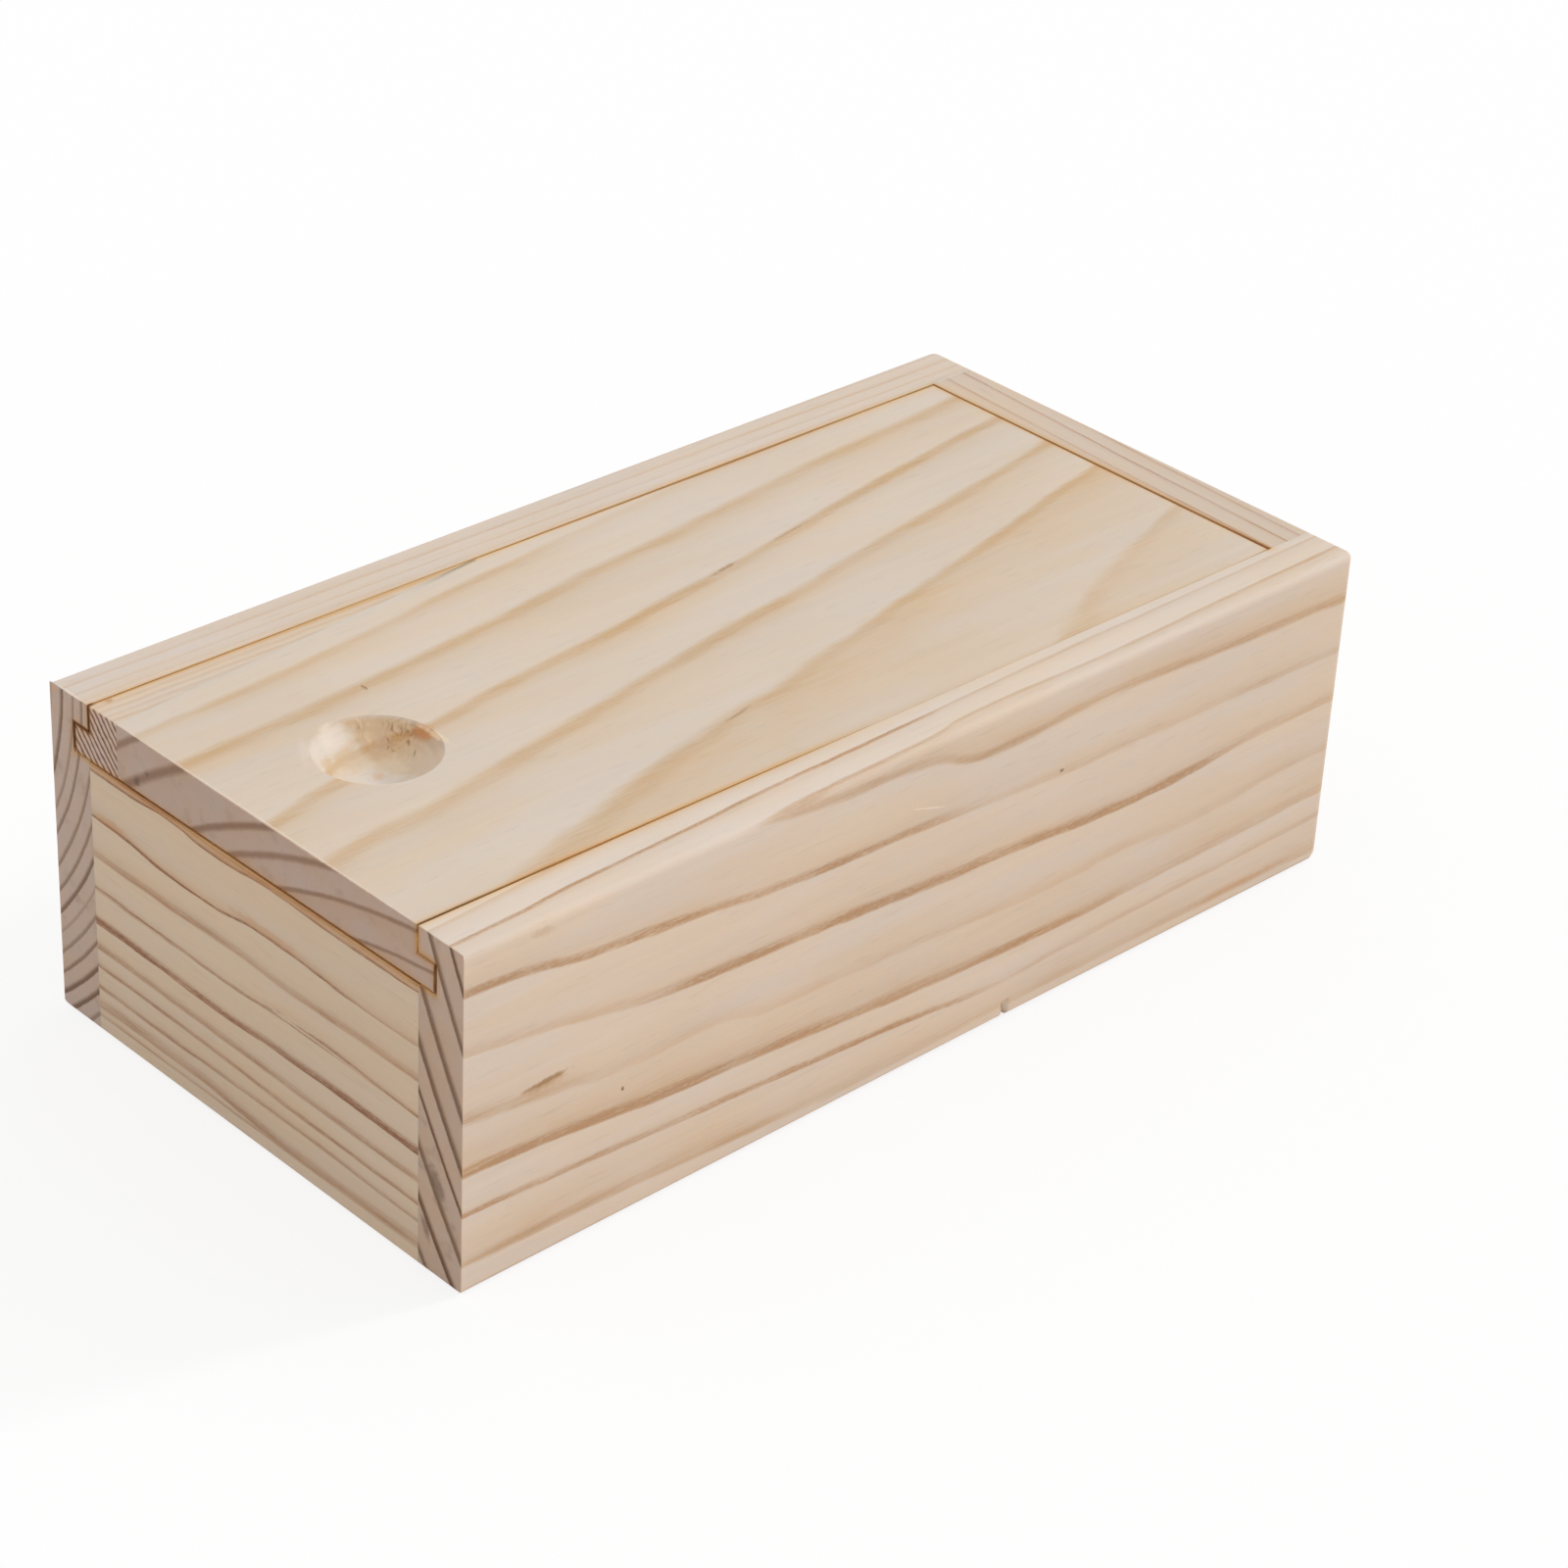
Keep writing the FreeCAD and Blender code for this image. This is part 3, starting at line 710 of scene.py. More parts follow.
@dataclass(frozen=True)
class PineFinish:
    """Bare sanded pine, cut from one place in the tree, with its colours as a screen shows them."""

    name: str
    pith: tuple[float, float]
    rings: tuple[GrowthRing, ...] = ()
    lean: tuple[float, float] = (0.0, 0.0)
    bend_up: float = 0.0
    wander: float = 0.3
    ragged: float = 1.0
    seed: float = 0.0
    grain: Axis = Axis.LENGTH
    face: float = 0.0
    course_on_top: bool = False
    ring_spacing: float = 0.0
    pale: Triple = (222, 205, 186)
    tan: Triple = (211, 187, 159)
    dark: Triple = (200, 172, 142)
    end_shade: Triple = (214, 208, 208)
    end_dark: Triple = (140, 116, 99)
    beside_lid: bool = True
    # The scoop's middle, round which its painted light and shade are laid.
    scoop: Optional[Triple] = None
    marks: tuple[Mark, ...] = ()

    def material(self) -> bpy.types.Material:
        """Builds the material.

        Returns:
            The material, which reads the piece's own object coordinates.
        """
        material = bpy.data.materials.new(self.name)
        wiring = clear_wiring(material)
        coordinates = wiring.add("ShaderNodeTexCoord").outputs
        place = coordinates["Object"]
        quarter = (0.0, 0.0, math.radians(90) if self.grain is Axis.WIDTH else 0.0)
        turned = wiring.add("ShaderNodeMapping", {"Vector": place, "Rotation": quarter})
        axis = GrainAxis().place(
            wiring, Place=turned.outputs[0], Pith_Across=self.pith[0], Pith_Up=self.pith[1],
            Lean_Across=self.lean[0], Lean_Up=self.lean[1], Bend_Up=self.bend_up,
            Wander=self.wander, Ragged=self.ragged, Seed=self.seed,
        )
        fibres = Fibres().place(wiring, Millimetres=axis["Millimetres"], Seed=self.seed)
        masks = self.ring_masks(wiring, axis, fibres["Patches"])
        with_grain = [float(way is self.grain) for way in Axis]
        facing = wiring.vector("DOT_PRODUCT", coordinates["Normal"], with_grain, output="Value")
        # Masks for the painted warm light near the lid's gaps and the painted shade inside them.
        gap_light: Sequence[Value] = PaintedGapLight().place(wiring, Place=place) if self.beside_lid else (0.0, 0.0)
        surface = PineSurface().place(
            wiring, Pale=paint(*self.pale), Tan=paint(*self.tan), Dark=paint(*self.dark),
            End_Shade=paint(*self.end_shade), End_Dark=paint(*self.end_dark),
            End=wiring.step(wiring.absolute(facing), *END_GRAIN_FROM), Seam=gap_light[0], Deep=gap_light[1],
            **{f"{kind} Mask": mask for kind, mask in masks.items()},
            **{name: fibres[name] for name in Fibres.patterns if name in PineSurface.inputs},
        )
        colour = self.worked(wiring, surface["Color"], place)
        bump = wiring.add("ShaderNodeBump", {**BUMP, "Height": surface["Height"]})
        shader = wiring.add("ShaderNodeBsdfPrincipled", {
            "Base Color": colour, "Roughness": surface["Roughness"], "Normal": bump.outputs[0],
            "Specular IOR Level": 0.3, "Subsurface Weight": SOAK_SHARE, "Subsurface Radius": SOAK_COLOUR,
            "Subsurface Scale": SOAK_DEPTH * MM,
        })
        wiring.add("ShaderNodeOutputMaterial", {"Surface": shader.outputs[0]})
        return material

    def worked(self, wiring: Wiring, colour: Socket, place: Socket) -> Socket:
        """Adds the scoop's painted light and shade, and the small marks, among them painted highlights and
        painted shade, to the wood's colour.

        Args:
            wiring: the material's wiring.
            colour: the bare wood's colour.
            place: the object coordinates.

        Returns:
            The colour with the marks on it.
        """
        if self.scoop:
            # Painted shade on the scoop's shaded wall, painted highlight on its lit wall.
            tint = ScoopPaintedLight().place(wiring, Place=place, Centre=self.scoop)
            colour = wiring.stain(colour, SCOOP_SHADE_TINT, tint["Painted Shade"])
            colour = wiring.stain(colour, SCOOP_HIGHLIGHT_TINT, tint["Painted Light"])
        for mark in self.marks:
            mask = SmallMark().place(
                wiring, Place=place, Centre=[value * MM for value in mark.centre],
                Size=[value * MM for value in mark.size],
                Turn=[math.radians(value) for value in mark.turn], Strength=mark.strength,
            )
            colour = wiring.mix(mask[0], colour, paint(*mark.colour))
        return colour

    def edge_of(self, wiring: Wiring, ring: GrowthRing, along: Socket) -> Value:
        """Finds how far from the pith a ring begins.

        Args:
            wiring: the material's wiring.
            ring: the ring.
            along: the place along the board.

        Returns:
            One distance, or a socket that gives it all along the board.
        """
        if not ring.course:
            return ring.reach
        middle = 0.5 * (ring.edge + ring.core)
        reaches = []
        for place, measure in ring.course:
            across, up = (measure, self.face) if self.course_on_top else (self.face, measure)
            pith_up = self.pith[1] + self.lean[1] * place + self.bend_up * place ** 2
            reaches.append(middle + math.hypot(across - self.pith[0] - self.lean[0] * place, up - pith_up))
        least, most = min(reaches), max(reaches)
        curve = wiring.add("ShaderNodeFloatCurve", {"Value": wiring.over(along, 2 * HALF_LENGTH)})
        points = curve.mapping.curves[0].points
        for _ in reaches[2:]:
            points.new(0.5, 0.5)
        for point, (place, _), reach in zip(points, ring.course, reaches):
            point.location = (place / (2 * HALF_LENGTH), (reach - least) / (most - least))
        curve.mapping.extend = "HORIZONTAL"
        curve.mapping.update()
        return wiring.line(curve.outputs[0], most - least, least)

    def ring_masks(self, wiring: Wiring, axis: Sequence, patches: Socket) -> dict[str, Value]:
        """Chains the growth rings.

        Args:
            wiring: the material's wiring.
            axis: the outputs of the grain axis.
            patches: where a ring is strong or faint along its length.

        Returns:
            The masks of the dark and of the tan wood, and of the dark wood in end grain.
        """
        if self.ring_spacing:
            close = CloseRings().place(wiring, Reach=axis["Reach"], Spacing=self.ring_spacing)
            return {kind: close[kind] for kind in CloseRings.outputs}
        masks: dict[str, Value] = dict.fromkeys(GrowthLine.outputs, 0.0)
        for ring in self.rings:
            line = GrowthLine().place(
                wiring, Reach=axis["Reach"], Along=axis["Along"], Edge=ring.edge, Core=ring.core,
                Edge_At=self.edge_of(wiring, ring, axis["Along"]), Fade=ring.fade, Dark=ring.dark,
                Tan=ring.tan, End=ring.end, Patches=patches,
                Strong_From=ring.strong[0], Strong_To=ring.strong[1],
                **{f"{kind} So Far": mask for kind, mask in masks.items()},
            )
            masks = {kind: line[kind] for kind in masks}
        return masks


def rings_along(rows: Iterable[Sequence[float]], edge: float = 0.2) -> tuple[GrowthRing, ...]:
    """Places rings by their distance from the pith.

    Args:
        rows: for each ring its distance, core, fade, dark, tan and end.
        edge: how softly each ring begins.

    Returns:
        The rings.
    """
    return tuple(GrowthRing(row[0], edge, *row[1:]) for row in rows)


RIGHT_PITH = (211.0, 120.0)
RIGHT_SIDE_PINE = PineFinish(
    name="right_side_pine", pith=RIGHT_PITH, face=37.5, wander=0.05, ragged=0.45, seed=3.0,
    pale=(224, 209, 195), tan=(209, 181, 151), dark=(188, 151, 118),
    end_shade=(213, 203, 198), end_dark=(108, 83, 65),
    rings=(
        GrowthRing(edge=0.35, core=0.25, fade=1.0, dark=0.32, tan=0.75, end=0.4, strong=(48, 150), course=(
            (0, 48.1), (43, 44.5), (55, 43.2), (66, 42.8), (72, 42.0), (80, 40.0), (88, 40.1), (98, 40.7),
            (108, 40.5), (117, 39.8), (130, 39.3), (145, 38.8))),
        GrowthRing(edge=0.24, core=0.32, fade=1.1, dark=0.95, tan=0.72, end=1.0, strong=(2, 70), course=(
            (0, 39.8), (10, 39.0), (16, 37.9), (25, 37.0), (35, 36.2), (48, 34.8), (70, 33.9), (97, 32.5),
            (117, 32.1), (145, 31.6))),
        GrowthRing(edge=0.26, core=0.45, fade=1.3, dark=0.8, tan=0.8, end=0.8, strong=(28, 122), course=(
            (0, 32.3), (10, 31.0), (20, 29.2), (30, 27.8), (45, 26.9), (60, 26.2), (72, 25.3), (87, 24.7),
            (98, 23.8), (112, 23.5), (130, 24.5), (145, 24.5))),
        GrowthRing(edge=0.4, core=0.5, fade=1.3, dark=0.35, tan=0.75, end=0.8, strong=(-9, 12), course=(
            (0, 23.4), (15, 21.5), (25, 20.3), (35, 20.5), (45, 18.9), (70, 17.8), (95, 16.6),
            (105, 17.0), (117, 16.2), (138, 17.3), (145, 17.2))),
        GrowthRing(edge=0.26, core=0.5, fade=1.9, dark=0.85, tan=0.95, end=0.85, strong=(-9, 100), course=(
            (0, 16.4), (10, 15.8), (20, 14.9), (30, 13.8), (42, 13.1), (58, 12.0), (70, 11.1), (97, 10.2),
            (117, 10.5), (145, 10.9))),
        GrowthRing(edge=0.2, core=0.3, fade=0.7, dark=0.8, tan=0.6, end=1.0, strong=(-9, 80), course=(
            (0, 10.8), (15, 10.1), (35, 8.9), (55, 7.8), (72, 6.7), (85, 5.7), (95, 6.2), (117, 6.6),
            (145, 6.9))),
        GrowthRing(edge=0.4, core=0.45, fade=1.5, dark=0.3, tan=0.95, end=0.8, strong=(5, 42), course=(
            (0, 4.2), (20, 3.7), (35, 3.0), (50, 2.2), (60, 1.9), (90, 2.2), (122, 2.2), (145, 1.9))),
        GrowthRing(math.dist(RIGHT_PITH, (37.5, -2.6)), core=0.5, fade=0.8, dark=0.6, end=1.0),
        GrowthRing(math.dist(RIGHT_PITH, (37.5, -9.0)), core=0.4, fade=1.0),
    ),
    marks=(
        Mark((37.5, -61.0, 23.4), (1.0, 4.8, 0.95), (196, 162, 124), 0.7, (3.0, 0.0, 0.0)),
        Mark((37.5, -60.6, 23.7), (1.0, 4.2, 0.5), (166, 130, 96), 0.85, (3.0, 0.0, 0.0)),
        Mark((37.5, 20.2, 32.8), (1.0, 0.5, 0.35), (150, 112, 84), 1.0),
        Mark((37.5, -49.3, 17.6), (1.0, 0.3, 0.4), (146, 112, 88), 1.0),
        Mark((37.5, -61.5, 43.4), (1.0, 2.4, 0.8), (204, 176, 146), 0.5, (-6.0, 0.0, 0.0)),
        Mark((37.5, -2.5, 36.25), (1.0, 3.9, 0.16), (238, 226, 212), 0.8, (-16.7, 0.0, 0.0)),
        # Dark in the nick at the foot: its torn fibres, with painted shade in the hollow.
        Mark((37.5, 13.2, 1.4), (2.0, 0.36, 1.9), (110, 70, 42), 0.95, (8.0, 0.0, 0.0)),
        Mark((37.5, 56.0, 2.3), (1.0, 12.0, 0.6), (202, 160, 124), 0.6),
        Mark((33.2, -72.5, 13.0), (1.3, 1.0, 3.4), (116, 98, 84), 0.7, (0.0, -28.0, 0.0)),
        Mark((31.2, -72.5, 6.0), (0.8, 1.0, 2.4), (118, 98, 84), 0.6, (0.0, -20.0, 0.0)),
    ),
)

LEFT_SIDE_PINE = PineFinish(
    name="left_side_pine", pith=(-75.5, 47.0), lean=(0.004, -0.003), wander=0.2, ragged=0.4, seed=17.0,
    pale=(217, 202, 189), tan=(212, 189, 165), dark=(203, 173, 145),
    end_shade=(221, 214, 214), end_dark=(122, 98, 82),
    rings=rings_along((
        (38.8, 0.2, 0.4, 0.2, 0.3, 0.3), (41.0, 0.35, 0.5, 0.35, 0.5, 0.85),
        (43.1, 0.25, 0.4, 0.3, 0.4, 0.5),
        (44.8, 0.25, 0.5, 0.15, 0.3, 0.7), (47.2, 0.25, 0.5, 0.2, 0.4, 0.65),
        (49.3, 0.25, 0.5, 0.3, 0.5, 0.7),
        (51.3, 0.3, 0.5, 0.3, 0.5, 0.9), (53.2, 0.2, 0.4, 0.2, 0.3, 0.35), (55.2, 0.25, 0.5, 0.3, 0.5, 0.6),
        (57.3, 0.25, 0.6, 0.4, 0.6, 0.75), (59.6, 0.35, 0.6, 0.5, 0.7, 1.0),
        (61.8, 0.35, 0.6, 0.5, 0.7, 1.0),
        (64.0, 0.3, 0.6, 0.3, 0.5, 0.6), (66.2, 0.3, 0.6, 0.3, 0.5, 0.6),
    ), edge=0.22),
    marks=(
        Mark((-36.6, -72.5, 44.2), (0.7, 1.0, 0.6), (206, 160, 124), 0.7),
        # Painted highlight along the front top edge.
        Mark((-33.5, -72.4, 45.0), (3.6, 0.3, 0.3), (240, 224, 204), 0.6),
    ),
)

LID_PINE = PineFinish(
    name="lid_pine", pith=(41.1, -46.5), lean=(-0.047, 0.034), bend_up=0.000104, face=45.0,
    course_on_top=True, wander=0.05, ragged=0.5, seed=29.0,
    pale=(217, 202, 187), tan=(209, 180, 145), dark=(196, 161, 120),
    end_shade=(215, 206, 208), end_dark=(139, 112, 95), scoop=(-1.5, -53.0, 45.0),
    rings=(
        *rings_along((
            (114.6, 0.3, 0.6, 0.2, 0.5, 0.4), (87.5, 0.2, 1.2, 0.15, 0.6, 0.8),
            (83.6, 0.3, 1.0, 0.3, 0.7, 0.8),
            (79.6, 0.3, 1.0, 0.3, 0.7, 0.8), (75.1, 0.3, 1.0, 0.3, 0.7, 0.8),
        ), edge=0.35),
        GrowthRing(edge=0.7, core=0.35, fade=1.1, dark=0.18, tan=0.7, end=0.8, strong=(-9, 62), course=(
            (0, -20.8), (3, -21.0), (27, -22.5), (41, -24.0), (52, -25.5), (64, -26.6), (80, -28.2),
            (110, -30.5))),
        GrowthRing(edge=0.9, core=0.5, fade=1.4, dark=0.25, tan=0.85, end=0.9, course=(
            (0, -12.5), (12, -13.1), (22, -13.6), (37, -15.0), (52, -16.4), (62, -17.9), (74, -19.0),
            (91, -20.9), (103, -22.4), (124, -24.1), (137, -25.2))),
        GrowthRing(edge=0.6, core=0.4, fade=1.0, dark=0.42, tan=0.85, end=0.9, course=(
            (0, 4.0), (6, 2.5), (13, 1.0), (27, -1.6), (35, -3.0), (47, -4.5), (59, -5.6), (67, -7.0),
            (79, -8.6), (89, -10.2), (107, -13.4), (121, -15.5), (137, -17.5))),
        GrowthRing(edge=0.6, core=0.35, fade=1.0, dark=0.36, tan=0.8, end=0.8, course=(
            (0, 14.2), (6, 13.1), (18, 12.0), (29, 10.0), (41, 7.9), (51, 6.1), (60, 4.6), (71, 2.6),
            (83, 0.9), (93, -1.0), (103, -2.5), (113, -4.1), (127, -6.5), (137, -8.5))),
        GrowthRing(edge=0.45, core=0.25, fade=2.0, dark=0.3, tan=0.85, end=0.8, course=(
            (0, 40.6), (14, 30.6), (19, 28.5), (27, 26.3), (35, 23.6), (42, 21.6), (50, 19.9), (58, 18.1),
            (67, 16.5), (74, 14.8), (83, 12.9), (91, 10.7), (102, 8.4), (115, 5.5), (127, 2.6),
            (137, 0.4))),
    ),
    marks=(
        Mark((-1.8, -45.8, 44.4), (2.4, 1.5, 1.3), (196, 134, 82), 0.8, (0.0, 0.0, 14.0)),
        Mark((-5.2, -49.4, 42.5), (1.5, 3.0, 1.5), (214, 184, 156), 0.6, (0.0, 0.0, 20.0)),
        Mark((-6.4, -54.0, 42.5), (1.0, 3.0, 1.3), (212, 182, 142), 0.65, (0.0, 0.0, 21.0)),
        Mark((-5.2, -57.2, 42.9), (1.0, 2.3, 1.3), (210, 180, 140), 0.65, (0.0, 0.0, 38.0)),
        Mark((-4.9, -53.4, 41.9), (2.2, 3.0, 1.5), (213, 186, 152), 0.45, (0.0, 0.0, 15.0)),
        # Painted highlight on the scoop's lit left wall.
        Mark((-8.0, -53.8, 43.8), (2.4, 3.2, 2.0), (250, 232, 216), 0.35),
        # Painted highlight on the scoop's left rim.
        Mark((-9.1, -54.3, 45.0), (0.6, 1.8, 0.6), (236, 220, 204), 0.45, (0.0, 0.0, 12.0)),
        # Painted highlight on the top beside the scoop's front rim.
        Mark((-6.2, -59.8, 45.0), (4.2, 0.9, 0.5), (228, 214, 202), 0.35, (0.0, 0.0, -33.0)),
        Mark((-6.5, -50.1, 43.0), (1.0, 1.3, 1.0), (228, 198, 160), 0.5),
        # Painted light over the shadow on the scoop's floor.
        Mark((-2.0, -50.6, 41.4), (3.4, 2.6, 2.0), (244, 228, 204), 0.35),
        # Painted light on the shaded back wall below the rim.
        Mark((-0.4, -45.6, 44.8), (4.6, 0.7, 0.5), (252, 226, 188), 0.6),
        Mark((-1.8, -52.4, 41.0), (1.2, 1.0, 0.8), (220, 182, 144), 0.55),
        Mark((-2.8, -47.3, 43.2), (0.85, 0.2, 0.6), (144, 112, 78), 0.65, (0.0, 0.0, -36.0)),
        Mark((-1.1, -47.8, 42.8), (1.0, 0.2, 0.6), (144, 112, 80), 0.65, (0.0, 0.0, -48.0)),
        Mark((-11.0, 20.5, 45.0), (0.34, 5.0, 1.0), (176, 140, 104), 0.55, (0.0, 0.0, 9.5)),
        Mark((-8.9, 7.5, 45.0), (0.42, 3.6, 1.0), (164, 124, 88), 0.65, (0.0, 0.0, 9.5)),
        Mark((18.4, -15.5, 45.0), (0.36, 3.2, 1.0), (168, 132, 98), 0.6, (0.0, 0.0, 11.0)),
        # Painted highlight along the lid's front top edge.
        Mark((3.0, -72.4, 45.0), (33.0, 0.3, 0.3), (236, 218, 200), 0.5),
        Mark((-20.7, -72.5, 39.2), (1.1, 0.6, 0.7), (104, 84, 74), 0.75, (0.0, -35.0, 0.0)),
        Mark((-18.7, -72.5, 41.0), (0.7, 0.6, 0.5), (110, 90, 80), 0.6, (0.0, -35.0, 0.0)),
    ),
)

WEDGE_PINE = PineFinish(
    name="lid_wedge_pine", pith=(16.4, 81.9), lean=(0.01, 0.0), wander=0.12, seed=41.0,
    ring_spacing=0.9, pale=(217, 199, 181), tan=(210, 185, 160), dark=(200, 171, 144),
    end_shade=(236, 227, 233), end_dark=(114, 91, 76),
    marks=(Mark((-29.3, -70.0, 45.0), (0.7, 1.0, 1.0), (196, 150, 106), 0.8),),
)

FRONT_PITH = (140.0, 220.0)
FRONT_PINE = PineFinish(
    name="front_board_pine", pith=FRONT_PITH, face=72.5, grain=Axis.WIDTH, wander=0.05, ragged=0.7, seed=53.0,
    pale=(210, 192, 171), tan=(186, 151, 120), dark=(142, 100, 76),
    rings=(
        GrowthRing(edge=0.1, core=0.15, fade=0.8, dark=0.5, tan=0.7, course=(
            (40, 37.0), (55, 37.2), (63, 37.15), (72, 37.0), (82, 37.2), (106, 37.1))),
        GrowthRing(edge=0.12, core=0.2, fade=1.6, dark=0.7, tan=1.0, course=(
            (40, 36.6), (50, 36.4), (57, 36.75), (66, 36.1), (72, 36.4), (79, 36.7), (87, 36.4),
            (106, 36.5))),
        GrowthRing(edge=0.12, core=0.28, fade=0.8, dark=0.95, tan=0.9, strong=(35, 90), course=(
            (40, 30.3), (48, 30.1), (53, 29.6), (62, 29.15), (70, 29.6), (78, 30.0), (85, 29.75),
            (95, 29.4), (106, 29.6))),
        GrowthRing(edge=0.45, core=0.7, fade=0.8, dark=0.22, tan=0.7, course=(
            (40, 25.3), (55, 25.0), (70, 25.25), (80, 24.9), (90, 25.1), (106, 24.9))),
        GrowthRing(edge=0.2, core=0.25, fade=0.5, dark=0.55, tan=0.8, course=(
            (40, 20.4), (55, 20.2), (65, 20.0), (71, 20.1), (76, 20.6), (82, 21.0), (90, 20.75),
            (97, 20.3), (106, 20.0))),
        GrowthRing(edge=0.1, core=0.2, fade=0.3, dark=0.8, tan=0.4, strong=(60, 84), course=(
            (40, 20.1), (65, 19.9), (73, 20.1), (80, 20.4), (87, 20.35), (106, 19.8))),
        GrowthRing(edge=0.25, core=0.75, fade=0.6, dark=0.72, tan=1.0, course=(
            (40, 15.7), (55, 15.65), (65, 15.35), (78, 15.7), (86, 15.7), (95, 15.5), (106, 15.4))),
        GrowthRing(edge=0.45, core=0.6, fade=0.7, dark=0.24, tan=0.6, course=(
            (40, 12.1), (67, 11.9), (80, 11.7), (106, 11.5))),
        GrowthRing(edge=0.35, core=0.32, fade=0.6, dark=0.33, tan=0.6, course=(
            (40, 9.4), (65, 9.1), (80, 8.6), (95, 8.4), (106, 8.2))),
        GrowthRing(edge=0.35, core=0.32, fade=0.6, dark=0.33, tan=0.6, course=(
            (40, 6.5), (55, 6.2), (65, 6.35), (80, 6.45), (95, 6.1), (106, 5.9))),
        GrowthRing(edge=0.5, core=0.9, fade=0.9, dark=0.22, tan=0.8, course=(
            (40, 3.7), (58, 3.9), (70, 3.4), (85, 2.7), (95, 2.9), (106, 3.0))),
        GrowthRing(math.dist(FRONT_PITH, (72.5, 2.0)), edge=0.3, core=0.2, fade=0.4, dark=0.2, tan=0.5),
    ),
    marks=(
        Mark((-26.5, -72.5, 30.7), (4.5, 1.0, 0.9), (190, 146, 104), 0.5),
        Mark((3.0, -72.5, 30.5), (9.5, 1.0, 0.9), (190, 150, 112), 0.45),
        Mark((0.0, -72.5, 37.0), (31.0, 1.0, 0.45), (190, 144, 96), 0.4),
        Mark((7.5, -72.5, 21.0), (7.0, 1.0, 0.35), (216, 202, 184), 0.6, (0.0, -3.0, 0.0)),
    ),
)

BACK_PITH = (150.0, 120.0)
BACK_PINE = PineFinish(
    name="back_board_pine", pith=BACK_PITH, grain=Axis.WIDTH, lean=(0.037, 0.0), ragged=0.5, seed=67.0,
    pale=(212, 193, 174), tan=(202, 172, 148), dark=(186, 152, 127),
    rings=tuple(
        GrowthRing(math.dist(BACK_PITH, (across, 45.0)), edge=0.15, core=0.25, fade=0.5, dark=dark)
        for across, dark in (
            (-61.0, 0.4), (-63.6, 0.5), (-66.4, 0.5), (-69.1, 0.5), (-72.2, 0.7), (-74.6, 0.5),
            (-77.4, 0.4), (-79.6, 0.6), (-82.5, 0.5), (-85.2, 0.4), (-87.6, 0.6), (-90.5, 0.5),
        )
    ),
)

PANEL_PINE = PineFinish(
    name="bottom_panel_pine", pith=(6.0, -58.0), lean=(0.03, 0.02), wander=0.8, seed=83.0, beside_lid=False,
    rings=rings_along((reach, 0.3, 1.3, 0.35, 0.7, 0.7) for reach in (58, 60.5, 62.5, 65, 68, 71, 75)),
)


# ---------------------------------------------------------------- timber


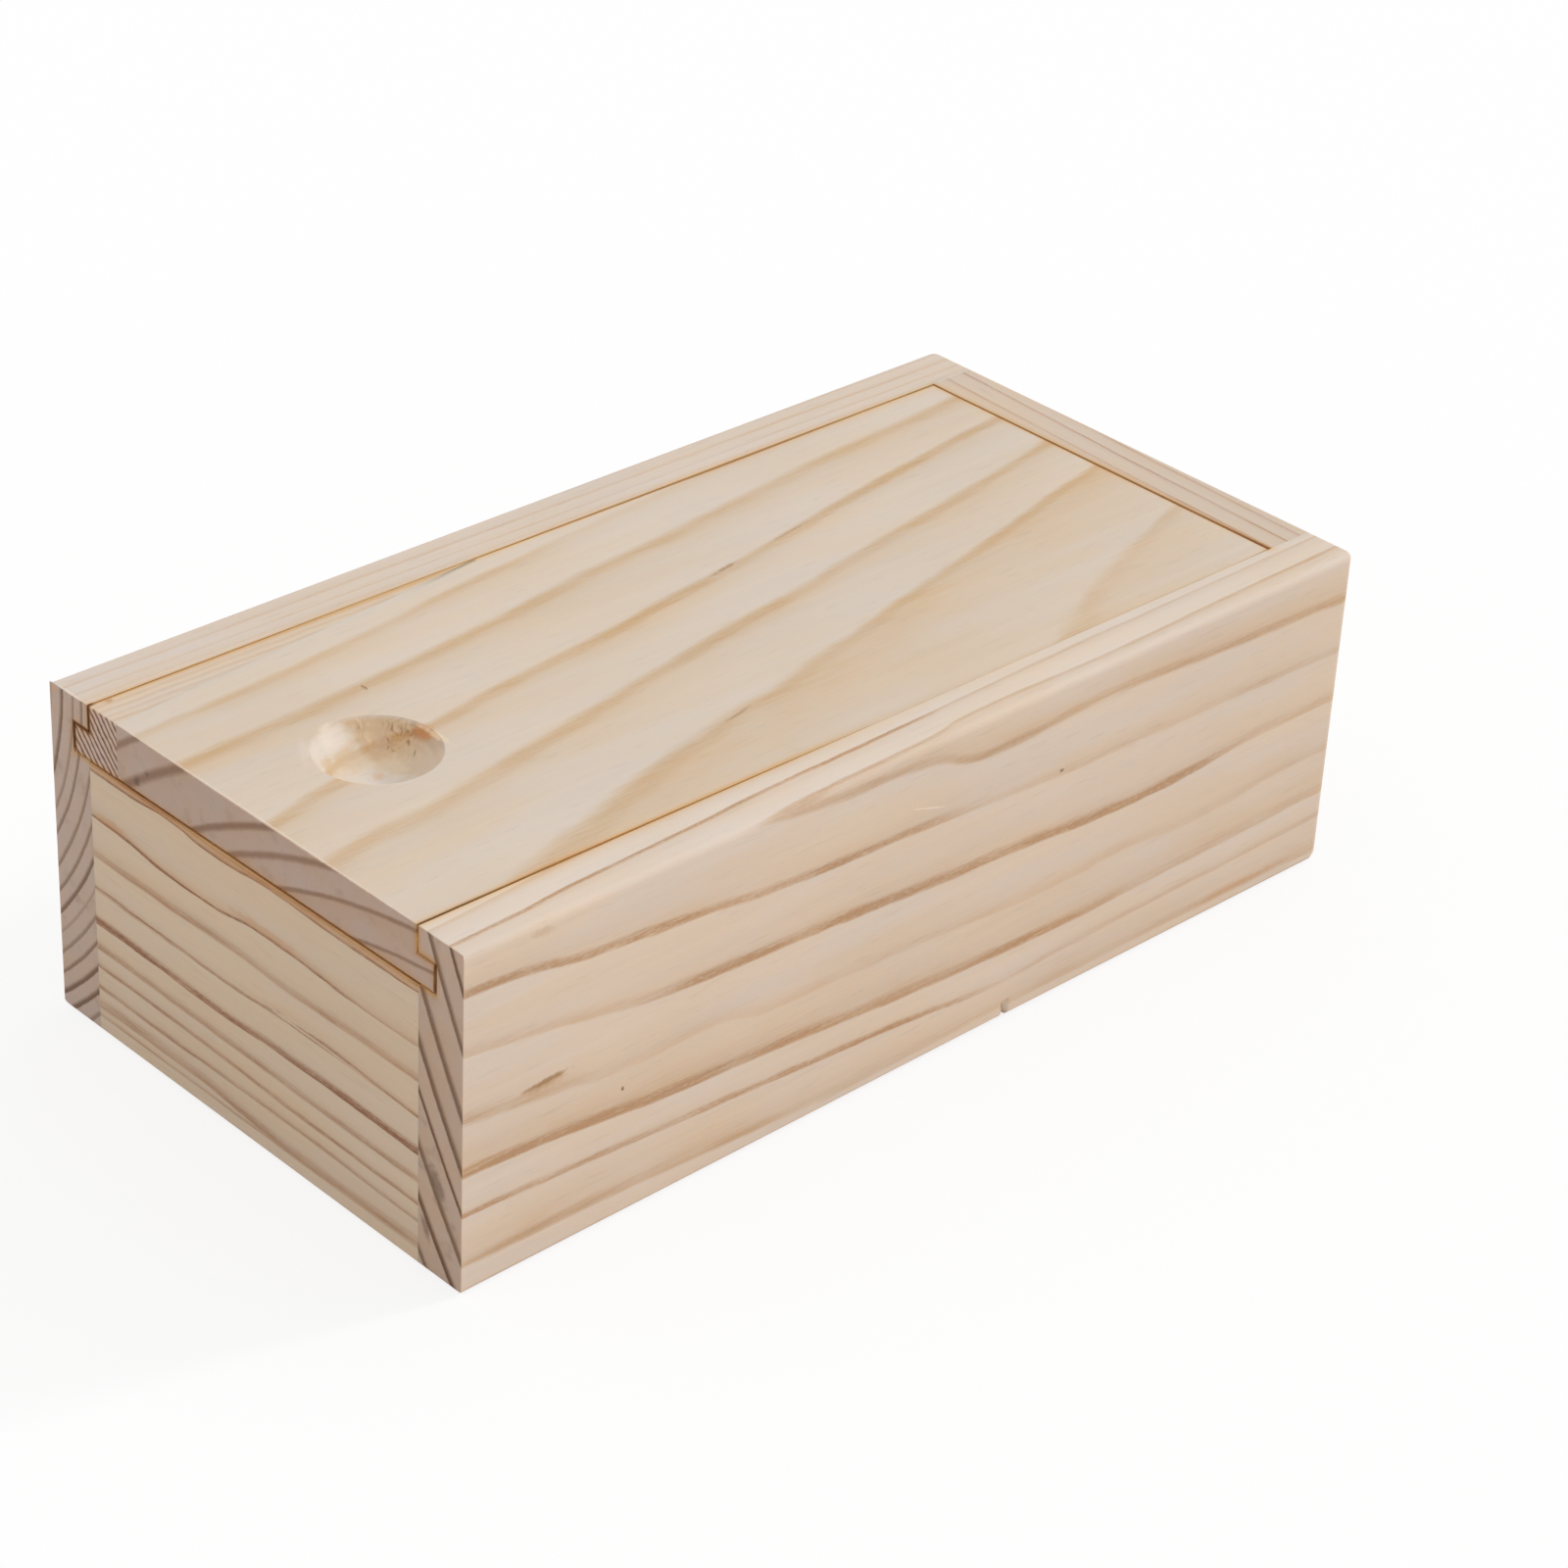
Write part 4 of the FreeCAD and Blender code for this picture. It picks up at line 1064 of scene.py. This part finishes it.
class Timber:
    """A piece of wood being cut to shape, in millimetres."""

    flat_within = math.radians(0.05)
    flat_pull = 90

    def __init__(self) -> None:
        """Starts with nothing on the bench."""
        self.mesh = bmesh.new()
        self.rounding = self.mesh.edges.layers.float.new("bevel_weight_edge")

    def lay_out(self, across: Axis, at: float, low: Vector, high: Vector) -> None:
        """Lays down a flat rectangle, the section that the piece is drawn from.

        Args:
            across: the direction that the rectangle faces.
            at: its place in that direction.
            low: the piece's lowest corner.
            high: its highest corner.
        """
        turns = {Axis.WIDTH: ("Y", -90), Axis.LENGTH: ("X", 90), Axis.HEIGHT: ("Z", 0)}
        name, angle = turns[across]
        middle, span = (low + high) / 2, high - low
        middle[across.value] = at
        span[across.value] = 1.0
        frame = Matrix.Translation(middle) @ Matrix.Diagonal((*span, 1.0))
        frame = frame @ Matrix.Rotation(math.radians(angle), 4, name)
        bmesh.ops.create_grid(self.mesh, x_segments=1, y_segments=1, size=0.5, matrix=frame)

    def around(self, faces: Iterable[bmesh.types.BMFace]) -> list:
        """Lists some faces with their edges and corners."""
        found = list(faces)
        edges = {edge for face in found for edge in face.edges}
        corners = {vert for face in found for vert in face.verts}
        return [*found, *edges, *corners]

    def faces(self, test: Callable[[Vector], bool]) -> list[bmesh.types.BMFace]:
        """Lists the faces whose middle passes a test."""
        return [face for face in self.mesh.faces if test(face.calc_center_median())]

    def score(self, axis: Axis, *places: float, among: Optional[Callable[[Vector], bool]] = None) -> None:
        """Scores flat lines round the piece.

        Args:
            axis: the direction that the lines are square to.
            places: where each line lies in that direction.
            among: a test on the middles of the faces that are scored, if not all are.
        """
        normal = Vector((0, 0, 0))
        normal[axis.value] = 1
        for place in places:
            faces = self.faces(among) if among else self.mesh.faces
            bmesh.ops.bisect_plane(
                self.mesh, geom=self.around(faces), dist=HAIR, plane_co=normal * place, plane_no=normal,
            )

    def cut_away(self, test: Callable[[Vector], bool]) -> None:
        """Takes away the faces whose middle passes a test."""
        bmesh.ops.delete(self.mesh, geom=self.faces(test), context="FACES")

    def draw_out(self, faces: Iterable[bmesh.types.BMFace], axis: Axis, by: float) -> None:
        """Draws faces out, or presses them in.

        Args:
            faces: the faces to move.
            axis: the direction.
            by: how far.
        """
        made = bmesh.ops.extrude_face_region(self.mesh, geom=self.around(faces))["geom"]
        move = Vector((0, 0, 0))
        move[axis.value] = by
        corners = [part for part in made if isinstance(part, bmesh.types.BMVert)]
        bmesh.ops.translate(self.mesh, verts=corners, vec=move)

    def tidy(self) -> None:
        """Joins faces that lie flat together, and turns every face outwards."""
        bmesh.ops.remove_doubles(self.mesh, verts=self.mesh.verts, dist=HAIR)
        bmesh.ops.dissolve_limit(
            self.mesh, angle_limit=self.flat_within, verts=self.mesh.verts, edges=self.mesh.edges,
        )
        bmesh.ops.recalc_face_normals(self.mesh, faces=self.mesh.faces)

    def round_off(
        self, radius: float, width: Optional[float] = None, length: Optional[float] = None,
        height: Optional[float] = None,
    ) -> None:
        """Marks the edges that lie wholly at the places given, to be rounded to a radius.

        Args:
            radius: the radius of the rounding.
            width: the edges' place in X, if it matters.
            length: their place in Y, if it matters.
            height: their place in Z, if it matters.
        """
        wanted = [(i, at) for i, at in enumerate((width, length, height)) if at is not None]
        for edge in self.mesh.edges:
            if all(near(vert.co[i], at) for vert in edge.verts for i, at in wanted):
                edge[self.rounding] = radius / WIDEST_ROUNDING

    def finish(self, name: str, segments: int = 6, crisp: float = 25.0) -> bpy.types.Object:
        """Turns the piece to metres and rounds the marked edges.

        Args:
            name: the piece's name.
            segments: the flats in each rounding.
            crisp: the angle from which an edge that isn't rounded shows as an edge.

        Returns:
            The piece's object, at the origin.
        """
        for face in self.mesh.faces:
            face.smooth = True
        for edge in self.mesh.edges:
            if edge.is_manifold and edge.calc_face_angle(0.0) > math.radians(crisp):
                edge.smooth = edge[self.rounding] > 0
        bmesh.ops.scale(self.mesh, vec=(MM, MM, MM), verts=self.mesh.verts)
        data = bpy.data.meshes.new(name)
        self.mesh.to_mesh(data)
        self.mesh.free()
        piece = stand(name, data)
        bevel = piece.modifiers.new("rounded edges", "BEVEL")
        bevel.limit_method = "WEIGHT"
        bevel.width = WIDEST_ROUNDING * MM
        bevel.segments = segments
        bevel.use_clamp_overlap = True
        flats = piece.modifiers.new("true flats", "WEIGHTED_NORMAL")
        flats.weight = self.flat_pull
        flats.keep_sharp = True
        return piece


def dress(
    stock: Timber, finish: PineFinish, slot: Slot, body: Body, node: str, **rounding: float
) -> bpy.types.Object:
    """Turns a piece of wood into an object, with its finish and its place on the frame.

    Args:
        stock: the piece of wood.
        finish: the wood it is cut from.
        slot: not used.
        body: what it moves with.
        node: the node that it stands for.
        rounding: how its roundings are made, as Timber.finish takes it.

    Returns:
        The dressed piece.
    """
    piece = stock.finish(f"{node}_wood", **rounding)
    piece.data.materials.append(finish.material())
    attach(piece, body.value)
    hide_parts(node)
    LOG.info("%s: %d faces, rides on %s", piece.name, len(piece.data.polygons), body.value)
    return piece


# ---------------------------------------------------------------- the box


@dataclass(frozen=True)
class PanelGroove:
    """The groove that holds the bottom panel, the same in all four boards."""

    floor: float = 2.5
    roof: float = 5.6
    depth: float = 3.0

    def holds(self, centre: Vector) -> bool:
        """Says whether a point is at the groove's height."""
        return self.floor < centre.z < self.roof


PANEL_GROOVE = PanelGroove()


@dataclass
class SideBoard:
    """A long side, with the lid's groove, the bottom's groove and rounded outer edges."""

    node: str
    side: int
    finish: PineFinish
    groove_floor: float = 37.5
    groove_roof: float = 41.6
    groove_depth: float = 3.05
    groove_stop: float = 64.9
    slot_front: float = -68.0
    slot_back: float = 67.9
    top_round: float = 1.0
    back_top_round: float = 0.8
    upright_round: float = 1.4
    foot_round: float = 0.8
    heel_round: float = 1.8
    front_foot_round: float = 0.6
    arris: float = 0.12
    nick: tuple[float, ...] = ()
    nick_top: float = 2.9
    nick_depth: float = 0.9
    nick_rise: float = 0.6

    def build(self) -> bpy.types.Object:
        """Builds the board.

        Returns:
            The dressed piece.
        """
        low, high = (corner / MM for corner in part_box(self.node))
        outer, inner = (high.x, low.x) if self.side > 0 else (low.x, high.x)
        deep = inner + self.side * self.groove_depth
        stock = Timber()
        stock.lay_out(Axis.LENGTH, self.groove_stop, low, high)
        stock.score(Axis.HEIGHT, self.groove_floor, self.groove_roof)
        stock.score(Axis.WIDTH, deep)
        stock.draw_out(stock.mesh.faces[:], Axis.LENGTH, high.y - self.groove_stop)
        front = stock.faces(lambda c: near(c.y, self.groove_stop) and not self.in_groove(c, deep))
        stock.draw_out(front, Axis.LENGTH, low.y - self.groove_stop)
        stock.score(Axis.HEIGHT, PANEL_GROOVE.floor, PANEL_GROOVE.roof)
        stock.score(Axis.LENGTH, self.slot_front, self.slot_back)
        slot = stock.faces(
            lambda c: near(c.x, inner) and PANEL_GROOVE.holds(c) and self.slot_front < c.y < self.slot_back
        )
        stock.draw_out(slot, Axis.WIDTH, self.side * PANEL_GROOVE.depth)
        stock.tidy()
        self.round_edges(stock, outer, inner, low, high)
        self.chip(stock, outer, low)
        return dress(stock, self.finish, Slot.SIDE_BOARD, Body.BOX, self.node, crisp=3.0)

    def chip(self, stock: Timber, outer: float, low: Vector) -> None:
        """Chips a splinter out of the foot's outer edge.

        Args:
            stock: the board.
            outer: the outer face's place.
            low: the board's lowest corner.
        """
        if not self.nick:
            return
        stock.score(Axis.HEIGHT, self.nick_top)
        stock.score(Axis.LENGTH, *self.nick, among=lambda c: c.z < self.nick_top)
        for vert in stock.mesh.verts:
            on_edge = near(vert.co.x, outer) and near(vert.co.z, low.z)
            if on_edge and any(near(vert.co.y, place) for place in self.nick[1:-1]):
                vert.co.x -= self.side * self.nick_depth
                vert.co.z += self.nick_rise * self.nick_depth

    def in_groove(self, centre: Vector, deep: float) -> bool:
        """Says whether a point of the section lies in the lid's groove."""
        return self.groove_floor < centre.z < self.groove_roof and abs(centre.x) < abs(deep)

    def round_edges(self, stock: Timber, outer: float, inner: float, low: Vector, high: Vector) -> None:
        """Marks the board's roundings.

        Args:
            stock: the board.
            outer: the outer face's place.
            inner: the inner face's place.
            low: the board's lowest corner.
            high: its highest corner.
        """
        stock.round_off(self.arris, length=low.y, width=outer)
        stock.round_off(self.arris, length=low.y, height=high.z)
        stock.round_off(self.arris, width=inner, height=self.groove_floor)
        stock.round_off(self.arris, width=inner, height=self.groove_roof)
        stock.round_off(self.top_round, width=outer, height=high.z)
        stock.round_off(self.back_top_round, length=high.y, height=high.z)
        stock.round_off(self.upright_round, width=outer, length=high.y)
        stock.round_off(self.foot_round, width=outer, height=low.z)
        stock.round_off(self.heel_round, length=high.y, height=low.z)
        stock.round_off(self.front_foot_round, length=low.y, height=low.z)


@dataclass
class EndBoard:
    """A short board between the sides, with the bottom's groove in its inner face."""

    node: str
    facing: int
    finish: PineFinish
    top_round: float
    foot_round: float

    def build(self) -> bpy.types.Object:
        """Builds the board.

        Returns:
            The dressed piece.
        """
        low, high = (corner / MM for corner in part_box(self.node))
        outer, inner = (high.y, low.y) if self.facing > 0 else (low.y, high.y)
        deep = inner + self.facing * PANEL_GROOVE.depth
        stock = Timber()
        stock.lay_out(Axis.WIDTH, low.x, low, high)
        stock.score(Axis.HEIGHT, PANEL_GROOVE.floor, PANEL_GROOVE.roof)
        stock.score(Axis.LENGTH, deep)
        stock.cut_away(lambda c: PANEL_GROOVE.holds(c) and abs(c.y) < abs(deep))
        stock.draw_out(stock.mesh.faces[:], Axis.WIDTH, high.x - low.x)
        stock.tidy()
        stock.round_off(self.top_round, length=outer, height=high.z)
        stock.round_off(self.foot_round, length=outer, height=low.z)
        return dress(stock, self.finish, Slot.END_BOARD, Body.BOX, self.node)


@dataclass
class BottomPanel:
    """The thin bottom, held in the four boards' grooves."""

    node: str = "bottom_panel"
    finish: PineFinish = PANEL_PINE
    arris: float = 0.3

    def build(self) -> bpy.types.Object:
        """Builds the panel.

        Returns:
            The dressed piece.
        """
        low, high = (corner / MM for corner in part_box(self.node))
        stock = Timber()
        stock.lay_out(Axis.HEIGHT, low.z, low, high)
        stock.draw_out(stock.mesh.faces[:], Axis.HEIGHT, high.z - low.z)
        stock.tidy()
        for height in (low.z, high.z):
            stock.round_off(self.arris, height=height)
        return dress(stock, self.finish, Slot.BOTTOM, Body.BOX, self.node, segments=2)


# ---------------------------------------------------------------- the lid


@dataclass(frozen=True)
class Hollow:
    """A round hollow pressed or bored into a flat top."""

    across: float
    along: float
    radius: tuple[float, float, float]
    lift: float
    turns: int
    rows: int
    torn: float = 0.0
    # How finely the hollow is cut at the top, and how near its middle no way out is told.
    cut_within, middle_within = 1e-5, 1e-6
    # Where the cutter met the fibres: its way there, then where the torn wall begins and how sharply,
    # by how squarely it was met, by how far out it is and by how far back.
    met_left, met_back = 0.77, 0.64
    squarely, far_out, far_back = (0.76, 8.0), (4.3, 2.5), (2.2, 2.0)
    # The wall is smooth this far below the rim, and has the cutter's own fine waves.
    smooth_band = 0.4
    chatter_depth, chatter_turns = 0.01, 2.2
    # The torn fibres run in rings of this radius, bent by a slow warp, in patches.
    ring_radius, warp, warp_cell, warp_seed = 13.0, 1.1, 0.9, 7.0
    patch_mean, patch_swing, patch_sharp, patch_lift, patch_cell, patch_seed = 0.65, 0.35, 6.0, 0.5, 0.35, 3.0
    ripple_pitch, ripple_level = 1.2, 0.4
    slit_width, slit_pitch, slit_level, slit_depth = 0.5, 0.9, 0.62, 0.9

    def bore(self, stock: Timber, top: float) -> list[bmesh.types.BMEdge]:
        """Adds the hollow's wall below the top.

        Args:
            stock: the piece that it is bored into.
            top: the top's height.

        Returns:
            The rim's edges.
        """
        centre = Vector((self.across, self.along, top + self.lift))
        frame = Matrix.Translation(centre) @ Matrix.Diagonal((*self.radius, 1.0))
        ball = bmesh.ops.create_uvsphere(
            stock.mesh, u_segments=self.turns, v_segments=self.rows, radius=1.0, matrix=frame,
        )["verts"]
        faces = {face for vert in ball for face in vert.link_faces}
        bmesh.ops.bisect_plane(
            stock.mesh, geom=stock.around(faces), dist=self.cut_within, plane_co=(0, 0, top),
            plane_no=(0, 0, 1), clear_outer=True,
        )
        reach = max(self.radius) + SAME

        def within(vert: bmesh.types.BMVert) -> bool:
            """Says whether a corner is near enough to be the hollow's."""
            return (vert.co - centre).length < reach

        rim = [
            edge for edge in stock.mesh.edges
            if edge.is_boundary and near(edge.verts[0].co.z, top) and within(edge.verts[0])
        ]
        if self.torn:
            held = {vert for edge in rim for vert in edge.verts}
            wall = [
                vert for vert in stock.mesh.verts
                if vert not in held and vert.co.z < top + HAIR and within(vert) and len(vert.link_faces)
                and all(face.calc_center_median().z < top for face in vert.link_faces)
            ]
            self.tear(wall, centre, top)
        return rim

    def tear(self, wall: Iterable[bmesh.types.BMVert], centre: Vector, top: float) -> None:
        """Roughens the wall as a ball cutter leaves it, smooth at the rim.

        Args:
            wall: the corners of the wall.
            centre: the ball's middle.
            top: the height of the rim.
        """
        for vert in wall:
            out = (vert.co - centre).normalized()
            side = Vector((vert.co.x - self.across, vert.co.y - self.along, 0.0))
            far = side.length
            toward = (self.met_back * side.y - self.met_left * side.x) / max(far, 1.0)
            against = rise(toward, *self.squarely) * rise(far, *self.far_out)
            against *= rise(side.y, *self.far_back)
            depth = min(1.0, (top - vert.co.z) / self.smooth_band)
            chatter = self.chatter_depth * math.sin(self.chatter_turns * far * math.pi)
            cell = self.warp_cell
            warp = self.warp * noise.noise(Vector((side.x * cell, side.y * cell, self.warp_seed)))
            ring = side
            if far > self.middle_within:
                ring = side.normalized() * self.ring_radius + Vector((warp, warp, 0.0))
            cell = self.patch_cell
            cloud = noise.noise(Vector((vert.co.x * cell, vert.co.y * cell, self.patch_seed)))
            patch = self.patch_mean + self.patch_swing * math.tanh(self.patch_sharp * cloud + self.patch_lift)
            ripples = noise.turbulence(Vector((ring.x, ring.y, far * self.ripple_pitch)), 2, False)
            ripples -= self.ripple_level
            cell = self.slit_width
            slits = noise.turbulence(Vector((ring.x * cell, ring.y * cell, far * self.slit_pitch)), 3, False)
            slits = max(0.0, slits - self.slit_level)
            torn = against * (patch * ripples + self.slit_depth * slits)
            vert.co += out * depth * (chatter + self.torn * torn)


@dataclass
class Lid:
    """The sliding lid: a wide stave with the finger scoop, and a wedge at its front left."""

    stave: str = "lid_board"
    wedge: str = "lid_edge_strip"
    top_half_width: float = 29.6
    tongue_top: float = 41.4
    joint_front: float = -24.4
    joint_length: float = 90.0
    arris: float = 0.15
    cheek_arris: float = 0.09
    skirt: float = 0.8
    scoop: Hollow = Hollow(-1.5, -53.0, (9.51, 9.51, 9.51), 5.51, 400, 230, torn=0.19)
    dent: Hollow = Hollow(-13.4, -45.4, (0.75, 0.3, 0.25), 0.08, 24, 16)
    sway: tuple[tuple[float, float, float], ...] = (
        (0.0, -0.08, 0.0), (22.0, -0.17, 0.0), (45.0, -0.26, -0.10), (70.0, -0.14, -0.33),
        (100.0, 0.06, -0.34), (125.0, -0.14, -0.28), (137.0, -0.10, -0.24),
    )
    sway_overlap: float = 1.0
    back_skew: float = 0.10

    def blank(self) -> tuple[Timber, Vector, Vector]:
        """Draws out the lid's whole section, with a tongue down each side.

        Returns:
            The blank, and the lid's lowest and highest corners.
        """
        low, high = (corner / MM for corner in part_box(self.stave))
        stock = Timber()
        stock.lay_out(Axis.LENGTH, low.y, low, high)
        stock.score(Axis.WIDTH, -self.top_half_width, self.top_half_width)
        stock.score(Axis.HEIGHT, self.tongue_top)
        stock.cut_away(lambda c: c.z > self.tongue_top and abs(c.x) > self.top_half_width)
        stock.draw_out(stock.mesh.faces[:], Axis.LENGTH, high.y - low.y)
        stock.tidy()
        stock.score(Axis.LENGTH, *(place + low.y for place, _, _ in self.sway[1:-1]))
        return stock, low, high

    def settle(self, stock: Timber, low: Vector, high: Vector) -> None:
        """Lets the lid's cheeks sway a little in their gap, as planed edges do.

        Args:
            stock: the stave or the wedge.
            low: the lid's lowest corner.
            high: its highest corner.
        """
        for vert in stock.mesh.verts:
            if near(vert.co.y, high.y):
                vert.co.y -= self.back_skew * vert.co.x / high.x
            if vert.co.z < self.tongue_top - SAME or not near(abs(vert.co.x), self.top_half_width):
                continue
            place = vert.co.y - low.y
            for (start, left, right), (stop, next_left, next_right) in zip(self.sway, self.sway[1:]):
                if start - self.sway_overlap <= place <= stop + self.sway_overlap:
                    share = min(1.0, max(0.0, (place - start) / (stop - start)))
                    on_left = vert.co.x < 0
                    first, last = (left, next_left) if on_left else (right, next_right)
                    shift = first + share * (last - first)
                    vert.co.x += shift if on_left else -shift
                    break

    def part_at_joint(self, stock: Timber, low: Vector, wedge: bool) -> None:
        """Saws the blank along the glue joint and keeps one side.

        Args:
            stock: the blank.
            low: the lid's lowest corner.
            wedge: whether the narrow side is kept.
        """
        run = Vector((low.x - self.joint_front, self.joint_length, 0))
        normal = Vector((run.y, -run.x, 0)).normalized()
        bmesh.ops.bisect_plane(
            stock.mesh, geom=stock.around(stock.mesh.faces), dist=HAIR, plane_no=normal,
            plane_co=(self.joint_front, low.y, 0), clear_outer=wedge, clear_inner=not wedge,
        )
        open_edges = [edge for edge in stock.mesh.edges if edge.is_boundary]
        bmesh.ops.holes_fill(stock.mesh, edges=open_edges, sides=0)
        bmesh.ops.recalc_face_normals(stock.mesh, faces=stock.mesh.faces)

    def ease_edges(self, stock: Timber, low: Vector, high: Vector) -> None:
        """Softens the long edges that a hand meets.

        Args:
            stock: the stave.
            low: the lid's lowest corner.
            high: its highest corner.
        """
        for side in (-1, 1):
            stock.round_off(self.cheek_arris, width=side * self.top_half_width, height=high.z)
            stock.round_off(self.arris, width=side * high.x, height=self.tongue_top)
            stock.round_off(self.arris, width=side * high.x, height=low.z)
        for length in (low.y, high.y):
            stock.round_off(self.arris, length=length, height=high.z)
            stock.round_off(self.arris, length=length, height=low.z)

    def build_wedge(self) -> bpy.types.Object:
        """Builds the narrow stave.

        Returns:
            The dressed piece.
        """
        stock, low, high = self.blank()
        self.part_at_joint(stock, low, wedge=True)
        stock.round_off(self.arris, length=low.y, height=high.z)
        self.settle(stock, low, high)
        return dress(stock, WEDGE_PINE, Slot.LID, Body.LID, self.wedge, segments=3)

    def build_stave(self) -> bpy.types.Object:
        """Builds the wide stave, with the scoop and a small dent in its top.

        Returns:
            The dressed piece.
        """
        stock, low, high = self.blank()
        self.part_at_joint(stock, low, wedge=False)
        self.ease_edges(stock, low, high)
        top = stock.faces(lambda c: near(c.z, high.z))
        top = bmesh.ops.dissolve_faces(stock.mesh, faces=top, use_verts=False)["region"]
        self.settle(stock, low, high)
        bmesh.ops.inset_individual(stock.mesh, faces=top, thickness=self.skirt, use_even_offset=True)
        middle = [face for face in top if face.is_valid]
        border = {edge for face in middle for edge in face.edges}
        bmesh.ops.delete(stock.mesh, geom=middle, context="FACES_ONLY")
        rims = self.scoop.bore(stock, high.z) + self.dent.bore(stock, high.z)
        bmesh.ops.triangle_fill(stock.mesh, edges=[*border, *rims], use_beauty=True, normal=(0, 0, 1))
        bmesh.ops.recalc_face_normals(stock.mesh, faces=stock.mesh.faces)
        return dress(stock, LID_PINE, Slot.LID, Body.LID, self.stave, segments=3)


# ---------------------------------------------------------------- the studio


@dataclass
class Studio:
    """A pale floor, one large lamp behind, even light all round, and the camera."""

    azimuth: float = 45.13
    elevation: float = 30.915
    distance: float = 520.05
    target: Triple = (10.894, 0.0, 26.128)
    lens: float = 98.459
    sensor: float = 36.0
    near_m: float = 0.01
    roll: float = 0.053
    lamp_from: Triple = (0.249, 0.847, 0.47)
    lamp_strength: float = 1.03
    lamp_angle: float = 8.0
    sky: float = 0.85
    floor_span_m: float = 6.0
    floor_drop: float = 0.05
    floor_white: float = 0.8
    floor_lit: Triple = (232, 220, 208)
    floor_seen: Triple = (252, 252, 252)

    def build(self) -> None:
        """Sets up everything that isn't the box."""
        self.floor()
        self.light()
        self.camera()

    def floor(self) -> None:
        """Lays a pale floor that keeps the box's shadow."""
        mesh = bmesh.new()
        bmesh.ops.create_grid(mesh, x_segments=1, y_segments=1, size=self.floor_span_m / 2)
        bmesh.ops.translate(mesh, verts=mesh.verts, vec=(0, 0, -self.floor_drop * MM))
        data = bpy.data.meshes.new("floor")
        mesh.to_mesh(data)
        mesh.free()
        floor = stand("floor", data)
        material = bpy.data.materials.new("pale_floor")
        wiring = clear_wiring(material)
        seen = wiring.add("ShaderNodeLightPath").outputs["Is Camera Ray"]
        colour = wiring.mix(seen, paint(*self.floor_lit), paint(*self.floor_seen))
        matte = wiring.add("ShaderNodeBsdfDiffuse", {"Color": colour})
        white = wiring.add("ShaderNodeEmission", {"Color": WHITE, "Strength": 1.0})
        share = wiring.times(seen, self.floor_white)
        mixed = wiring.add("ShaderNodeMixShader", {0: share, 1: matte.outputs[0], 2: white.outputs[0]})
        wiring.add("ShaderNodeOutputMaterial", {"Surface": mixed.outputs[0]})
        data.materials.append(material)

    def light(self) -> None:
        """Hangs the lamp and lights the room."""
        lamp = bpy.data.lights.new("window_lamp", "SUN")
        lamp.energy = self.lamp_strength
        lamp.angle = math.radians(self.lamp_angle)
        holder = stand("window_lamp", lamp)
        holder.rotation_euler = Vector(self.lamp_from).to_track_quat("Z", "Y").to_euler()
        world = bpy.data.worlds.new("room")
        wiring = clear_wiring(world)
        seen = wiring.add("ShaderNodeLightPath").outputs["Is Camera Ray"]
        even = wiring.add("ShaderNodeBackground", {"Color": WHITE, "Strength": self.sky})
        white = wiring.add("ShaderNodeBackground", {"Color": WHITE, "Strength": 1.0})
        mixed = wiring.add("ShaderNodeMixShader", {0: seen, 1: even.outputs[0], 2: white.outputs[0]})
        wiring.add("ShaderNodeOutputWorld", {"Surface": mixed.outputs[0]})
        bpy.context.scene.world = world

    def camera(self) -> None:
        """Stands the camera at its place."""
        turn, lift = math.radians(self.azimuth), math.radians(self.elevation)
        back = Vector((math.sin(turn) * math.cos(lift), -math.cos(turn) * math.cos(lift), math.sin(lift)))
        right = Vector((math.cos(turn), math.sin(turn), 0))
        above = back.cross(right)
        across = math.cos(self.roll) * right + math.sin(self.roll) * above
        upward = math.cos(self.roll) * above - math.sin(self.roll) * right
        place = (Vector(self.target) + back * self.distance) * MM
        camera = stand("camera", bpy.data.cameras.new("camera"))
        camera.data.lens = self.lens
        camera.data.sensor_width = self.sensor
        camera.data.clip_start = self.near_m
        rows = Matrix((across, upward, back)).transposed().to_4x4()
        camera.matrix_world = Matrix.Translation(place) @ rows
        bpy.context.scene.camera = camera


def main() -> None:
    """Builds the box around its frame."""
    logging.basicConfig(level=logging.INFO, format="%(message)s")
    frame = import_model()
    LOG.info("bodies: %s", ", ".join(sorted(frame["bodies"])))
    bpy.context.scene.view_settings.view_transform = "Standard"
    Studio().build()
    SideBoard("left_side_board", -1, LEFT_SIDE_PINE, upright_round=2.0, foot_round=1.8).build()
    SideBoard("right_side_board", 1, RIGHT_SIDE_PINE, nick=(12.95, 13.1, 13.7, 14.3)).build()
    EndBoard("front_board", -1, FRONT_PINE, top_round=0.1, foot_round=0.6).build()
    EndBoard("back_board", 1, BACK_PINE, top_round=0.8, foot_round=1.8).build()
    BottomPanel().build()
    lid = Lid()
    lid.build_stave()
    lid.build_wedge()


if __name__ == "__main__":
    main()
